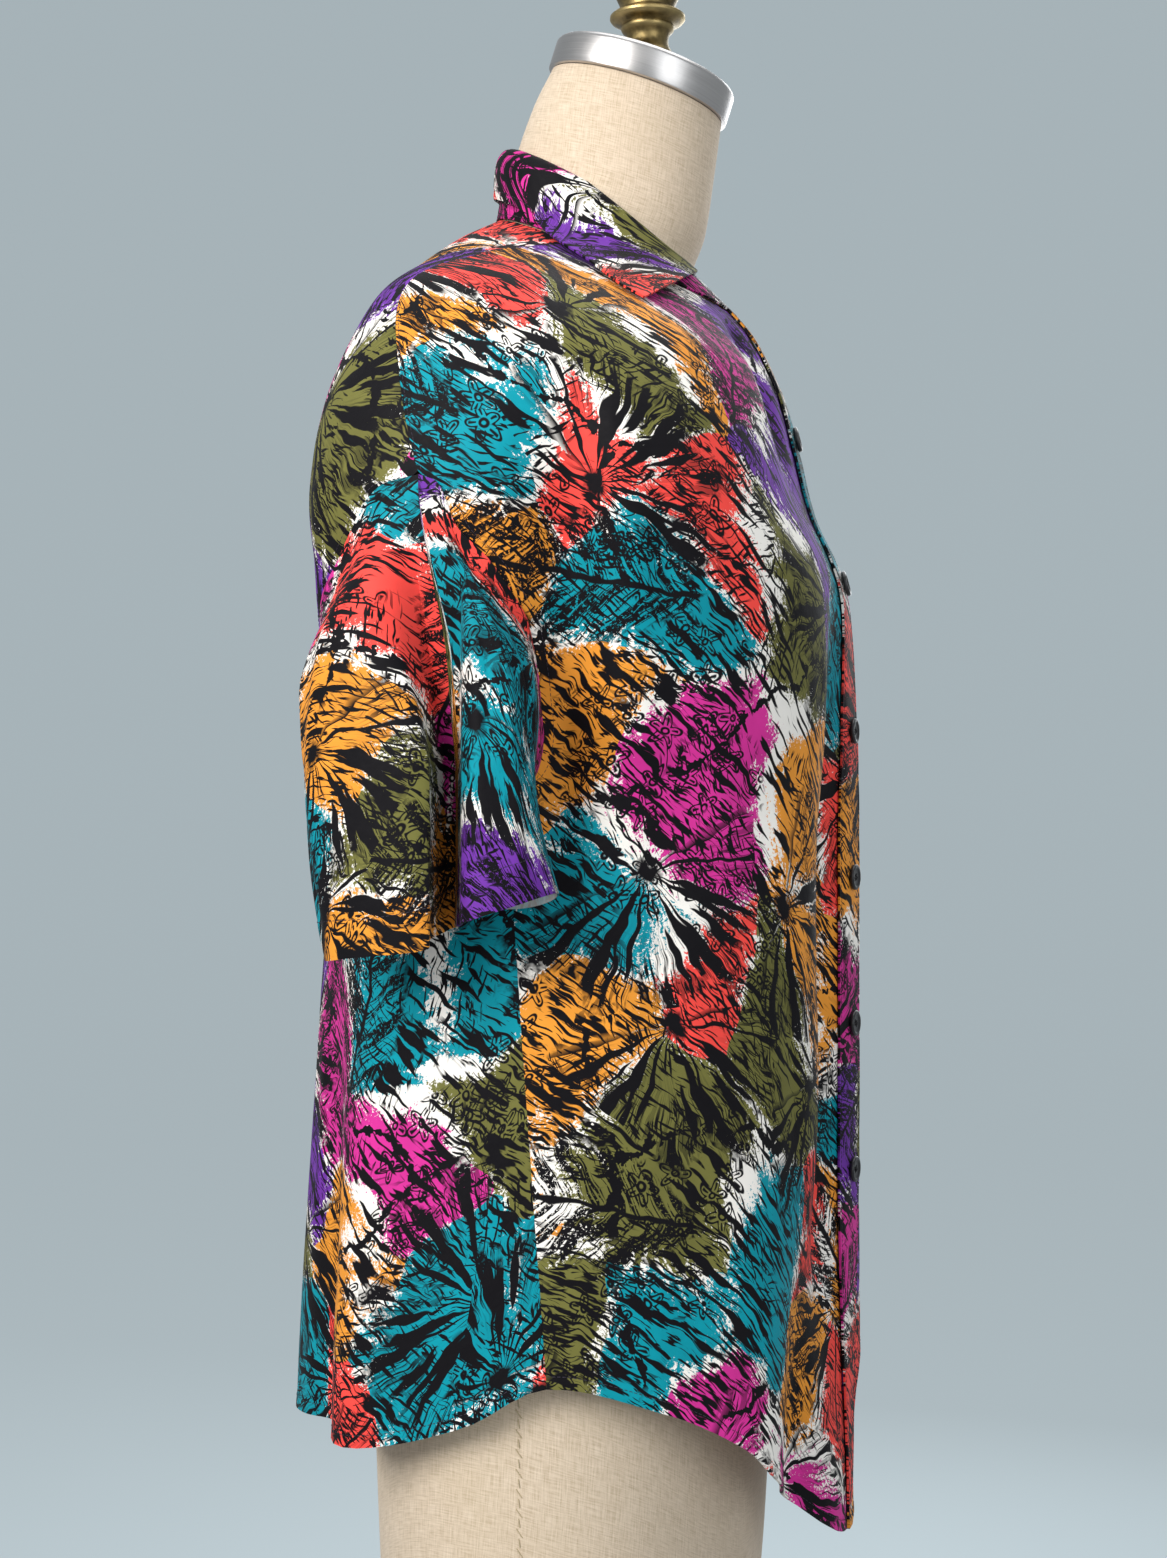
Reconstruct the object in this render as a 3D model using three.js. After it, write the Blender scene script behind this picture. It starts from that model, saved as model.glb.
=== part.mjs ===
// A short sleeved, button front shirt with dropped shoulders, worn on a dress form on a stand.
// Millimetres. +Z is up, the wearer faces -Y and the wearer's right side is -X.
// The origin is the middle of the stand's foot, on the floor.
// An angle is measured round the body in degrees: 0 is the centre front, 90 the wearer's right
// side, 180 the centre back and -90 the left side.

import * as THREE from "three";

const CLOTH = 1.5; // thickness of a cloth wall
const SEAM = 0.3; // gap between two pieces that are sewn together
const LAYER = CLOTH + 0.35; // step from one layer of cloth to the next one over it
const RIGHT = 1;
const LEFT = -1;

// Small helpers.

const radians = THREE.MathUtils.degToRad;
const degrees = THREE.MathUtils.radToDeg;
const mix = THREE.MathUtils.lerp;
const clamp = THREE.MathUtils.clamp;
const ease = (value, from, to) => {
  const t = clamp((value - from) / (to - from), 0, 1);
  return t * t * (3 - 2 * t);
};
const bell = (distance, width) => Math.exp(-((distance / width) ** 2));
const angleBetween = (a, b) => ((((a - b) % 360) + 540) % 360) - 180;

// A smooth curve through one column of a table. Its key runs up or down the rows.
function column(rows, key, name) {
  const keys = rows.map((row) => row[key]);
  const values = rows.map((row) => row[name]);
  const last = rows.length - 1;
  const slope = (i) => {
    const a = Math.max(i - 1, 0);
    const b = Math.min(i + 1, last);
    return (values[b] - values[a]) / (keys[b] - keys[a]);
  };
  const down = keys[0] > keys[last];
  return (at) => {
    const place = clamp(at, Math.min(keys[0], keys[last]), Math.max(keys[0], keys[last]));
    let i = 0;
    while (i < last - 1 && (down ? place < keys[i + 1] : place > keys[i + 1])) i += 1;
    const span = keys[i + 1] - keys[i];
    const t = (place - keys[i]) / span;
    const start = values[i];
    const end = values[i + 1];
    const leave = slope(i) * span;
    const arrive = slope(i + 1) * span;
    return (
      start * (2 * t ** 3 - 3 * t ** 2 + 1) +
      leave * (t ** 3 - 2 * t ** 2 + t) +
      end * (3 * t ** 2 - 2 * t ** 3) +
      arrive * (t ** 3 - t ** 2)
    );
  };
}

// Rings round the body.
// Each row gives the ring's points at the centre front, the side and the centre back, and how
// square its plan is: 2 is an ellipse.

const RING_COLUMNS = [
  "frontY", "frontZ", "sideX", "sideY", "sideZ", "backY", "backZ", "square",
];

const level = (z, frontY, sideX, sideY, backY, square) => ({
  frontY, frontZ: z, sideX, sideY, sideZ: z, backY, backZ: z, square,
});

function ringsOf(rows) {
  const numbered = rows.map((row, index) => ({ ...row, index }));
  const columns = Object.fromEntries(
    RING_COLUMNS.map((name) => [name, column(numbered, "index", name)]),
  );
  return (index) =>
    Object.fromEntries(RING_COLUMNS.map((name) => [name, columns[name](index)]));
}

// The point of a ring at an angle, moved out from the body's axis by a fold's depth.
function ringPoint(ring, angle, out = 0) {
  const s = Math.sin(radians(angle));
  const c = Math.cos(radians(angle));
  const ahead = c > 0;
  const reach = Math.abs((ahead ? ring.frontY : ring.backY) - ring.sideY);
  const power = ring.square;
  const radius =
    (Math.abs(s / ring.sideX) ** power + Math.abs(c / reach) ** power) ** (-1 / power) + out;
  const turn = Math.abs((radius - out) * c) / reach;
  return new THREE.Vector3(
    -radius * s,
    ring.sideY - radius * c,
    mix(ring.sideZ, ahead ? ring.frontZ : ring.backZ, turn),
  );
}

// The shirt's body, from the neckline over the shoulders and down to the hem.

const SHIRT_ROWS = [
  { frontY: -96, frontZ: 1362, sideX: 66, sideY: -12, sideZ: 1395, backY: 46, backZ: 1422, square: 2.1 },
  { frontY: -106, frontZ: 1349, sideX: 94, sideY: -8, sideZ: 1384, backY: 68, backZ: 1408, square: 2.2 },
  { frontY: -115, frontZ: 1332, sideX: 130, sideY: -4, sideZ: 1371, backY: 87, backZ: 1386, square: 2.4 },
  { frontY: -124, frontZ: 1309, sideX: 182, sideY: 0, sideZ: 1349, backY: 104, backZ: 1355, square: 2.7 },
  { frontY: -132, frontZ: 1278, sideX: 214, sideY: 0, sideZ: 1300, backY: 120, backZ: 1308, square: 2.8 },
  level(1243, -141, 226, 0, 130, 2.8),
  level(1197, -159, 220, 0, 132, 2.6),
  level(1121, -162, 205, 0, 131, 2.5),
  level(1060, -162, 194, 0, 130, 2.4),
  level(900, -162, 195, 0, 139, 2.3),
  level(770, -162, 199, 0, 147, 2.3),
  level(640, -163, 202, 0, 152, 2.3),
];
const SHOULDER_END = 5; // the row at the top of the armhole
const HANG = 8; // below this row the rows lead evenly down to the hem
const HEM = 9; // the last row coordinate, at the hem
const shirtRing = ringsOf(SHIRT_ROWS);

// Height of the hem round the body.
const HEM_ROWS = [
  { angle: 0, right: 653, left: 653 },
  { angle: 12, right: 660, left: 661 },
  { angle: 20, right: 671, left: 689 },
  { angle: 28, right: 688, left: 722 },
  { angle: 36, right: 702, left: 740 },
  { angle: 45, right: 720, left: 754 },
  { angle: 52, right: 741, left: 758 },
  { angle: 65, right: 764, left: 764 },
  { angle: 83, right: 779, left: 778 },
  { angle: 95, right: 758, left: 760 },
  { angle: 112, right: 740, left: 742 },
  { angle: 130, right: 736, left: 734 },
  { angle: 155, right: 729, left: 726 },
  { angle: 180, right: 724, left: 724 },
];
const hemRight = column(HEM_ROWS, "angle", "right");
const hemLeft = column(HEM_ROWS, "angle", "left");
function hemHeight(angle) {
  const turned = angleBetween(angle, 0);
  return turned >= 0 ? hemRight(turned) : hemLeft(-turned);
}

// The folds that the cloth hangs in. Out is the depth at the fold's middle, and it grows from
// the height start to the height full, and fades from the height fade to the height end.
const FOLDS = [
  { angle: 80, width: 6, out: -22, start: 1320, full: 1215, fade: 1130, end: 1010 },
  { angle: -79, width: 7, out: -20, start: 1320, full: 1215, fade: 1130, end: 1000 },
  { angle: 119, width: 9, out: 7, start: 1340, full: 1260, fade: 1190, end: 1080 },
  { angle: -120, width: 9, out: 7, start: 1340, full: 1260, fade: 1190, end: 1080 },
  { angle: 25, width: 7, out: -7, start: 1362, full: 1335, fade: 1290, end: 1225 },
  { angle: 64, width: 6, out: -5, start: 1290, full: 1190, fade: 1100, end: 980 },
  { angle: -60, width: 6, out: -6, start: 1290, full: 1190, fade: 1100, end: 960 },
  { angle: 16, width: 9, out: -15, start: 1250, full: 1040, fade: 860, end: 660 },
  { angle: -10, width: 9, out: 6, start: 1240, full: 1040, fade: 880, end: 660 },
  { angle: 31, width: 9, out: -20, start: 900, full: 700, fade: 560, end: 400 },
  { angle: 48, width: 9, out: 6, start: 980, full: 780, fade: 560, end: 400 },
  { angle: -34, width: 10, out: 17, start: 1000, full: 800, fade: 560, end: 400 },
  { angle: -60, width: 9, out: -8, start: 980, full: 780, fade: 560, end: 400 },
  { angle: 117, width: 7, out: 9, start: 1010, full: 780, fade: 560, end: 400 },
  { angle: 130, width: 7, out: -12, start: 1090, full: 760, fade: 560, end: 400 },
  { angle: 151, width: 11, out: 7, start: 1240, full: 900, fade: 560, end: 400 },
  { angle: 174, width: 9, out: -7, start: 1280, full: 1000, fade: 560, end: 400 },
  { angle: 200, width: 10, out: 7, start: 1240, full: 900, fade: 560, end: 400 },
  { angle: 222, width: 9, out: -8, start: 1090, full: 820, fade: 560, end: 400 },
  { angle: 243, width: 8, out: 8, start: 1010, full: 800, fade: 560, end: 400 },
];
function foldDepth(angle, z) {
  return FOLDS.reduce((sum, fold) => {
    const grown = ease(z, fold.start, fold.full) * ease(z, fold.end, fold.fade);
    return sum + fold.out * grown * bell(angleBetween(angle, fold.angle), fold.width);
  }, 0);
}

// The row, counted down the table, at which the body's level rings have a height.
function rowAtHeight(z) {
  let above = SHOULDER_END;
  let below = SHIRT_ROWS.length - 1;
  for (let step = 0; step < 30; step += 1) {
    const middle = (above + below) / 2;
    if (shirtRing(middle).sideZ > z) above = middle;
    else below = middle;
  }
  return (above + below) / 2;
}
const HANG_Z = SHIRT_ROWS[HANG].sideZ;

// A point of the shirt's body. Row runs from 0 at the neckline to HEM at the hem.
function bodyPoint(row, angle) {
  if (row <= HANG) {
    const ring = shirtRing(row);
    const z = ringPoint(ring, angle).z;
    return ringPoint(ring, angle, foldDepth(angle, z));
  }
  const z = mix(HANG_Z, hemHeight(angle), row - HANG);
  return bodyAtHeight(z, angle);
}
// A point of the body's level part, at a height.
function bodyAtHeight(z, angle) {
  return ringPoint(shirtRing(rowAtHeight(z)), angle, foldDepth(angle, z));
}
// Which way is out of the cloth there.
function outOf(pointAt, row, angle) {
  const down = pointAt(row + 0.02, angle).sub(pointAt(Math.max(row - 0.02, 0), angle));
  const round = pointAt(row, angle + 0.4).sub(pointAt(row, angle - 0.4));
  return round.cross(down).normalize();
}
function bodyOut(row, angle) {
  return outOf(bodyPoint, Math.min(row, HEM - 0.02), angle);
}
const outward = (point, out, distance) => point.clone().addScaledVector(out, distance);

// Walls of cloth.
// A wall is made over a grid of places. Each place has a point in the middle of the cloth and
// the direction out of it.

function clothWall(grid, { offset = 0, thickness = CLOTH, closed = false } = {}) {
  const rows = grid.length;
  const columns = grid[0].length;
  const positions = [];
  const faces = [];
  const addSide = (distance) => {
    const first = positions.length / 3;
    for (const row of grid)
      for (const place of row) positions.push(...outward(place.point, place.out, distance).toArray());
    return (i, j) => first + i * columns + (j % columns);
  };
  const outer = addSide(offset + thickness / 2);
  const inner = addSide(offset - thickness / 2);
  const quad = (a, b, c, d) => faces.push(a, b, c, a, c, d);
  const across = closed ? columns : columns - 1;
  for (let i = 0; i < rows - 1; i += 1)
    for (let j = 0; j < across; j += 1) {
      quad(outer(i, j), outer(i, j + 1), outer(i + 1, j + 1), outer(i + 1, j));
      quad(inner(i, j), inner(i + 1, j), inner(i + 1, j + 1), inner(i, j + 1));
    }
  for (let j = 0; j < across; j += 1) {
    quad(outer(0, j + 1), outer(0, j), inner(0, j), inner(0, j + 1));
    quad(outer(rows - 1, j), outer(rows - 1, j + 1), inner(rows - 1, j + 1), inner(rows - 1, j));
  }
  if (!closed)
    for (let i = 0; i < rows - 1; i += 1) {
      quad(outer(i, 0), outer(i + 1, 0), inner(i + 1, 0), inner(i, 0));
      const j = columns - 1;
      quad(outer(i + 1, j), outer(i, j), inner(i, j), inner(i + 1, j));
    }
  const geometry = new THREE.BufferGeometry();
  geometry.setAttribute("position", new THREE.Float32BufferAttribute(positions, 3));
  geometry.setIndex(faces);
  geometry.computeVertexNormals();
  return geometry;
}

// Seams and edges of the body's panels, as angles from the centre front.

const SHOULDER_SEAM = column(
  [
    { row: 0, angle: 90 },
    { row: 1, angle: 98 },
    { row: 2, angle: 106 },
    { row: 3, angle: 109 },
    { row: 4, angle: 104 },
    { row: 5, angle: 99 },
  ],
  "row",
  "angle",
);
const ARMHOLE_TOP = 1243;
const ARMHOLE_BOTTOM = 1085;
const ARMHOLE_ROWS = [
  { z: ARMHOLE_TOP, front: 99, back: 99 },
  { z: 1239, front: 96.5, back: 104.5 },
  { z: 1216, front: 94, back: 110.5 },
  { z: 1202, front: 90.5, back: 114 },
  { z: 1188, front: 88, back: 118.5 },
  { z: 1170, front: 85.5, back: 121.5 },
  { z: 1130, front: 84, back: 120 },
  { z: 1105, front: 84, back: 110 },
  { z: 1090, front: 86, back: 97 },
  { z: ARMHOLE_BOTTOM, front: 89, back: 89 },
];
const armholeFront = column(ARMHOLE_ROWS, "z", "front");
const armholeBack = column(ARMHOLE_ROWS, "z", "back");
const SIDE_SEAM = column(
  [
    { z: ARMHOLE_BOTTOM, angle: 89 },
    { z: 1010, angle: 88 },
    { z: 770, angle: 83 },
  ],
  "z",
  "angle",
);

// The angle at which a panel ends, at a row: its shoulder seam, armhole or side seam.
function panelEdge(row, armholeSide) {
  if (row <= SHOULDER_END) return SHOULDER_SEAM(row);
  const z = bodyPoint(row, 90).z;
  return z > ARMHOLE_BOTTOM ? armholeSide(z) : SIDE_SEAM(z);
}
// The angle at a distance from the centre front.
function angleAcross(row, distance) {
  const ring = shirtRing(row <= HANG ? row : rowAtHeight(mix(HANG_Z, hemHeight(0), row - HANG)));
  return degrees(Math.atan2(distance, ring.sideY - ring.frontY));
}
// The angle that a length of cloth takes up at a row.
function angleOfLength(row, angle, length) {
  const step = bodyPoint(row, angle + 0.5).distanceTo(bodyPoint(row, angle - 0.5));
  return length / step;
}

// Rows of the body's grid: over the shoulder, past the armhole and down to the hem.
const ARMHOLE_HEIGHTS = [1239, 1230, 1217, 1203, 1187, 1168, 1148, 1128, 1110, 1097, 1089, 1085];
const BODY_ROWS = [
  0, 0.5, 1, 1.5, 2, 2.5, 3, 3.35, 3.7, 4, 4.35, 4.7, SHOULDER_END,
  ...ARMHOLE_HEIGHTS.map(rowAtHeight),
  HANG, 8.1, 8.22, 8.34, 8.46, 8.58, 8.7, 8.8, 8.9, HEM,
];

const BAND_WIDTH = 30;
const BAND_HALF = BAND_WIDTH / 2;
// A panel's columns keep their angles from row to row, and its last few lead to the seam.
const FRONT_STRAIGHT = { to: 78, columns: 13 };
const BACK_STRAIGHT = { from: 127, columns: 17 };
const SEAM_COLUMNS = 4;

function bodyPlaces(row, from, to, count) {
  return Array.from({ length: count + 1 }, (_, j) => bodyPlace(row, mix(from, to, j / count)));
}
const bodyPlace = (row, angle) => ({ point: bodyPoint(row, angle), out: bodyOut(row, angle) });

function frontPanel(side) {
  const grid = BODY_ROWS.map((row) => {
    const edge = side * panelEdge(row, armholeFront);
    const from = side * angleAcross(row, BAND_HALF + SEAM / 2);
    const to = edge - side * angleOfLength(row, edge, SEAM / 2);
    const last = side * FRONT_STRAIGHT.to;
    const places = [
      ...bodyPlaces(row, from, last, FRONT_STRAIGHT.columns),
      ...bodyPlaces(row, last, to, SEAM_COLUMNS).slice(1),
    ];
    return side === RIGHT ? places : places.reverse();
  });
  return clothWall(grid);
}

function backPanel() {
  const grid = BODY_ROWS.map((row) => {
    const edge = panelEdge(row, armholeBack);
    const gap = angleOfLength(row, edge, SEAM / 2);
    const first = BACK_STRAIGHT.from;
    return [
      ...bodyPlaces(row, edge + gap, first, SEAM_COLUMNS).slice(0, -1),
      ...bodyPlaces(row, first, 360 - first, BACK_STRAIGHT.columns),
      ...bodyPlaces(row, 360 - first, 360 - edge - gap, SEAM_COLUMNS).slice(1),
    ];
  });
  return clothWall(grid);
}

// A front band runs down the centre front. The right one lies over the left one, and it laps
// over the edge of its front.
const BAND_LAP = 3;
const BAND_EASE = 0.25; // extra room under the upper band
function frontBand(side) {
  const grid = BODY_ROWS.map((row) => {
    const half = BAND_HALF - SEAM / 2;
    const from = angleAcross(row, -half);
    const to = angleAcross(row, side === RIGHT ? BAND_HALF + BAND_LAP : half);
    return bodyPlaces(row, from, to, 2);
  });
  return clothWall(grid, { offset: side === RIGHT ? LAYER + BAND_EASE : 0 });
}

// Sleeves.
// A sleeve is a tube from the armhole to its cuff. It hangs flat against the body with a deep
// fold down the middle of its outer side. Turn runs round it: 0 is the outer middle, 90 the
// front edge, 180 the side next to the body and 270 the back edge.

const SLEEVE_AROUND = 30;
const SLEEVE_STEPS = [0, 0.05, 0.12, 0.2, 0.3, 0.42, 0.54, 0.66, 0.78, 0.9, 1];
const SLEEVE_CLEAR = LAYER + 2; // the inner side's distance from the body
const CUFF = {
  middle: 96, // angle round the body
  reach: 15, // from the middle to the front and back edges, in degrees
  front: 1035,
  back: 994,
  inner: 1024,
};
// How far the outer side stands from the body's axis, by angle, at the cuff.
const SLEEVE_OUTLINE = [
  { angle: 80, radius: 224 },
  { angle: 84, radius: 241 },
  { angle: 89, radius: 247 },
  { angle: 92, radius: 241 },
  { angle: 94, radius: 219 },
  { angle: 96, radius: 206 },
  { angle: 98.5, radius: 208 },
  { angle: 100.3, radius: 234 },
  { angle: 102, radius: 247 },
  { angle: 106, radius: 257 },
  { angle: 112, radius: 253 },
  { angle: 118, radius: 242 },
  { angle: 125, radius: 226 },
];
const outerRadius = column(SLEEVE_OUTLINE, "angle", "radius");
const SLEEVE_TOP_RADIUS = 216; // what the outline levels out to at the top
// The back lobe's edge leans over the fold, by this many degrees.
const LOBE = { lean: 7, angle: 103, width: 3, from: 1190, full: 1090 };
const SWELL = { front: 3, back: 5 }; // degrees by which the edges lie further back at half height
const LEAST_ROOM = 3.6; // between the outer and the inner side, in the fold
const SEAM_LAP = LAYER + 0.7; // the sleeve's top edge lies over the armhole's edge

function sleevePlace(side, step, turn) {
  const c = Math.cos(radians(turn));
  const s = Math.sin(radians(turn));
  const seamZ = mix(ARMHOLE_TOP, ARMHOLE_BOTTOM, (1 - c) / 2);
  const seamAngle = s >= 0 ? armholeFront(seamZ) : armholeBack(seamZ);
  const swell = (s > 0 ? SWELL.front : SWELL.back) * Math.abs(s) * Math.sin(Math.PI * step);
  const cuffAngle = CUFF.middle - CUFF.reach * Math.sign(s) * Math.abs(s) ** 0.9 + swell;
  const cuffZ = mix(mix(CUFF.front, CUFF.back, (1 - s) / 2), CUFF.inner, ((1 - c) / 2) ** 2);
  const hung = ease(step, 0, 0.42);
  const angle = mix(seamAngle, cuffAngle, hung);
  const z = mix(seamZ, cuffZ, step);
  const body = bodyAtHeight(Math.min(z, ARMHOLE_TOP), side * angle);
  const bodyRadius = Math.hypot(body.x, body.y);
  const fullness = mix(1, 0.9, ease(z, 1020, 1200));
  const innerRadius = bodyRadius + SLEEVE_CLEAR;
  const outline = mix(SLEEVE_TOP_RADIUS, outerRadius(angle), fullness);
  const outer = Math.max(outline, innerRadius + LEAST_ROOM);
  const outerShare = ((1 + c) / 2) ** 0.6;
  const radius = mix(bodyRadius + SEAM_LAP, mix(innerRadius, outer, outerShare), ease(step, 0, 0.3));
  const lean = LOBE.lean * outerShare * ease(z, LOBE.from, LOBE.full);
  const leaned = angle - lean * bell(angle - LOBE.angle, LOBE.width);
  const direction = radians(side * leaned);
  return new THREE.Vector3(-radius * Math.sin(direction), -radius * Math.cos(direction), z);
}

function sleeve(side) {
  const grid = SLEEVE_STEPS.map((step) =>
    Array.from({ length: SLEEVE_AROUND }, (_, j) => {
      const turn = -side * (j / SLEEVE_AROUND) * 360;
      const at = (row, angle) => sleevePlace(side, clamp(row, 0, 1), angle);
      const down = at(step + 0.02, turn).sub(at(step - 0.02, turn));
      const round = at(step, turn - side * 4).sub(at(step, turn + side * 4));
      return { point: at(step, turn), out: round.cross(down).normalize() };
    }),
  );
  return clothWall(grid, { closed: true });
}

// Collar.

const STAND_TOP = {
  frontY: -76, frontZ: 1382, sideX: 58.5, sideY: -19, sideZ: 1429, backY: 39, backZ: 1463, square: 2.1,
};
const NECKLINE = SHIRT_ROWS[0];
const STAND_FOOT = 0.035; // share of the rise at which the stand begins, just over the neckline
const COLLAR_RISE = [STAND_FOOT, 0.35, 0.7, 1];
const STAND_OVERLAP = 10; // angle by which the stand's right end passes the centre front

function standPoint(rise, angle) {
  const ring = Object.fromEntries(
    RING_COLUMNS.map((name) => [name, mix(NECKLINE[name], STAND_TOP[name], rise)]),
  );
  return ringPoint(ring, angle);
}
function standPlace(rise, angle) {
  const up = standPoint(rise + 0.05, angle).sub(standPoint(rise - 0.05, angle));
  const round = standPoint(rise, angle + 0.5).sub(standPoint(rise, angle - 0.5));
  return { point: standPoint(rise, angle), out: up.cross(round).normalize() };
}

// The stand goes once round the neck, its right end over its left end.
const standOver = (angle) => LAYER * (1 - ease(angle, STAND_OVERLAP + 4, 50));
function collarStand() {
  const count = 44;
  const grid = COLLAR_RISE.map((rise) =>
    Array.from({ length: count + 1 }, (_, j) => {
      const angle = mix(-STAND_OVERLAP, 360 + STAND_OVERLAP, j / count);
      const place = standPlace(rise, angle);
      return { point: outward(place.point, place.out, standOver(angle)), out: place.out };
    }),
  ).reverse();
  return clothWall(grid);
}

// The fall turns over the stand's top edge and lies down on the shoulders. Its front ends run
// out to two points.
const FALL = { topFrom: 17, edgeFrom: 66, steps: [0, 0.12, 0.3, 0.5, 0.75, 1] };
// The row of the body on which the fall's edge lies. Below 0 it lies on the stand.
const fallEdgeRow = column(
  [
    { angle: 66, row: 2.35 },
    { angle: 70, row: 2.15 },
    { angle: 74, row: 1.8 },
    { angle: 78, row: 1.4 },
    { angle: 84, row: 1.02 },
    { angle: 90, row: 0.74 },
    { angle: 100, row: 0.33 },
    { angle: 112, row: -0.06 },
    { angle: 125, row: -0.22 },
    { angle: 180, row: -0.38 },
  ],
  "angle",
  "row",
);
function fallEdge(row, angle) {
  const body = outward(bodyPoint(Math.max(row, 0), angle), bodyOut(Math.max(row, 0), angle), LAYER + 2);
  if (row >= 0) return body;
  const place = standPlace(-row, angle);
  const stand = outward(place.point, place.out, LAYER + 2);
  return body.lerp(stand, ease(-row, 0, 0.12));
}
function fallPoint(share, step) {
  const topAngle = mix(FALL.topFrom, 360 - FALL.topFrom, share);
  const edgeAngle = mix(FALL.edgeFrom, 360 - FALL.edgeFrom, share);
  const top = standPlace(1, topAngle);
  const turned = outward(top.point, top.out, standOver(topAngle) + 1);
  turned.z += CLOTH + SEAM + 0.4;
  const fromBack = Math.abs(angleBetween(edgeAngle, 180));
  const row = fallEdgeRow(180 - fromBack);
  const edge = fallEdge(row, edgeAngle);
  const between = turned.clone().lerp(edge, step);
  const away = top.out.clone();
  away.z = 0.35;
  return outward(between, away.normalize(), 4 * Math.sin(Math.PI * step ** 0.62));
}
function collarFall() {
  const count = 36;
  const grid = FALL.steps.map((step) =>
    Array.from({ length: count + 1 }, (_, j) => {
      const share = j / count;
      const at = (s, q) => fallPoint(clamp(s, 0, 1), clamp(q, 0, 1));
      const down = at(share, step + 0.03).sub(at(share, step - 0.03));
      const round = at(share + 0.01, step).sub(at(share - 0.01, step));
      return { point: at(share, step), out: round.cross(down).normalize() };
    }),
  );
  return clothWall(grid);
}

// Buttons, down the centre front.

const BUTTON = { count: 6, top: 1289, spacing: 85.5, radius: 7.5, thickness: 2.6 };
function buttonGeometry() {
  const { radius, thickness } = BUTTON;
  const profile = [
    [0, 0],
    [radius - 0.6, 0],
    [radius, 0.6],
    [radius, thickness - 0.5],
    [radius - 0.6, thickness],
    [radius - 1.6, thickness - 0.1],
    [radius - 2.4, thickness - 0.9],
    [0, thickness - 0.9],
  ].map(([x, y]) => new THREE.Vector2(x, y));
  return new THREE.LatheGeometry(profile, 14);
}
function rowAtFront(z) {
  let above = 0;
  let below = HEM;
  for (let step = 0; step < 30; step += 1) {
    const middle = (above + below) / 2;
    if (bodyPoint(middle, 0).z > z) above = middle;
    else below = middle;
  }
  return (above + below) / 2;
}
function placeButton(mesh, index) {
  const row = rowAtFront(BUTTON.top - index * BUTTON.spacing);
  const out = bodyOut(row, 0);
  mesh.position.copy(outward(bodyPoint(row, 0), out, LAYER + BAND_EASE + CLOTH / 2 + 0.5));
  mesh.quaternion.setFromUnitVectors(new THREE.Vector3(0, 1, 0), out);
}

// The dress form.

const FORM_GAP = 0.95; // from the form to the cloth that rests on its shoulders

// The form's shoulders follow the inside of the shirt. Each of a row's three points moves in,
// square to the line through its neighbours.
function insetRow(rows, index, distance) {
  const before = rows[Math.max(index - 1, 0)];
  const after = rows[index + 1];
  const moved = (outName, upName, way) => {
    const run = (after[outName] - before[outName]) * way;
    const drop = before[upName] - after[upName];
    const length = Math.hypot(run, drop);
    return {
      [outName]: rows[index][outName] - (way * distance * drop) / length,
      [upName]: rows[index][upName] - (distance * run) / length,
    };
  };
  return {
    ...rows[index],
    ...moved("frontY", "frontZ", -1),
    ...moved("sideX", "sideZ", 1),
    ...moved("backY", "backZ", 1),
  };
}
const formInset = CLOTH / 2 + FORM_GAP;
const NECK_TOP = {
  frontY: -88, frontZ: 1480, sideX: 52, sideY: -37.5, sideZ: 1496.5, backY: 13, backZ: 1513, square: 2,
};
const FORM_ROWS = [
  NECK_TOP,
  { frontY: -84, frontZ: 1452, sideX: 52, sideY: -31, sideZ: 1472, backY: 24, backZ: 1493, square: 2 },
  { frontY: -78.5, frontZ: 1415, sideX: 53, sideY: -24, sideZ: 1441, backY: 34, backZ: 1467, square: 2 },
  { frontY: -70.5, frontZ: 1385, sideX: 56.5, sideY: -16, sideZ: 1416, backY: 41, backZ: 1442, square: 2 },
  insetRow(SHIRT_ROWS, 0, formInset),
  insetRow(SHIRT_ROWS, 1, formInset),
  insetRow(SHIRT_ROWS, 2, formInset),
  { ...insetRow(SHIRT_ROWS, 3, formInset + 3), frontY: -117, frontZ: 1304, backY: 101, backZ: 1349 },
  level(1300, -121, 184, 0, 109, 2.3),
  level(1262, -132, 174, 0, 110, 2.2),
  level(1215, -146, 162, 0, 104, 2.2),
  level(1175, -138, 152, 0, 97, 2.2),
  level(1110, -108, 132, 0, 85, 2.1),
  level(1055, -95, 122, 0, 80, 2.1),
  level(1000, -98, 136, 0, 90, 2.1),
  level(920, -110, 164, 0, 108, 2.1),
  level(820, -117, 181, 0, 111, 2.2),
  level(720, -116, 182, 0, 109, 2.2),
  level(610, -109, 175, 0, 105, 2.2),
  level(602, -104, 169, 0, 100, 2.2),
];
const formRing = ringsOf(FORM_ROWS);
const FORM_STEPS = [
  0, 1, 2, 3, 3.5, 4, 5, 6, 6.6, 7, 7.4, 8, 9, 9.5, 10, 11, 12, 13, 14, 15, 16, 17, 18, 19,
];
const FORM_AROUND = 28;
const FORM_BOTTOM = FORM_ROWS.at(-1).sideZ;

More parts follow.
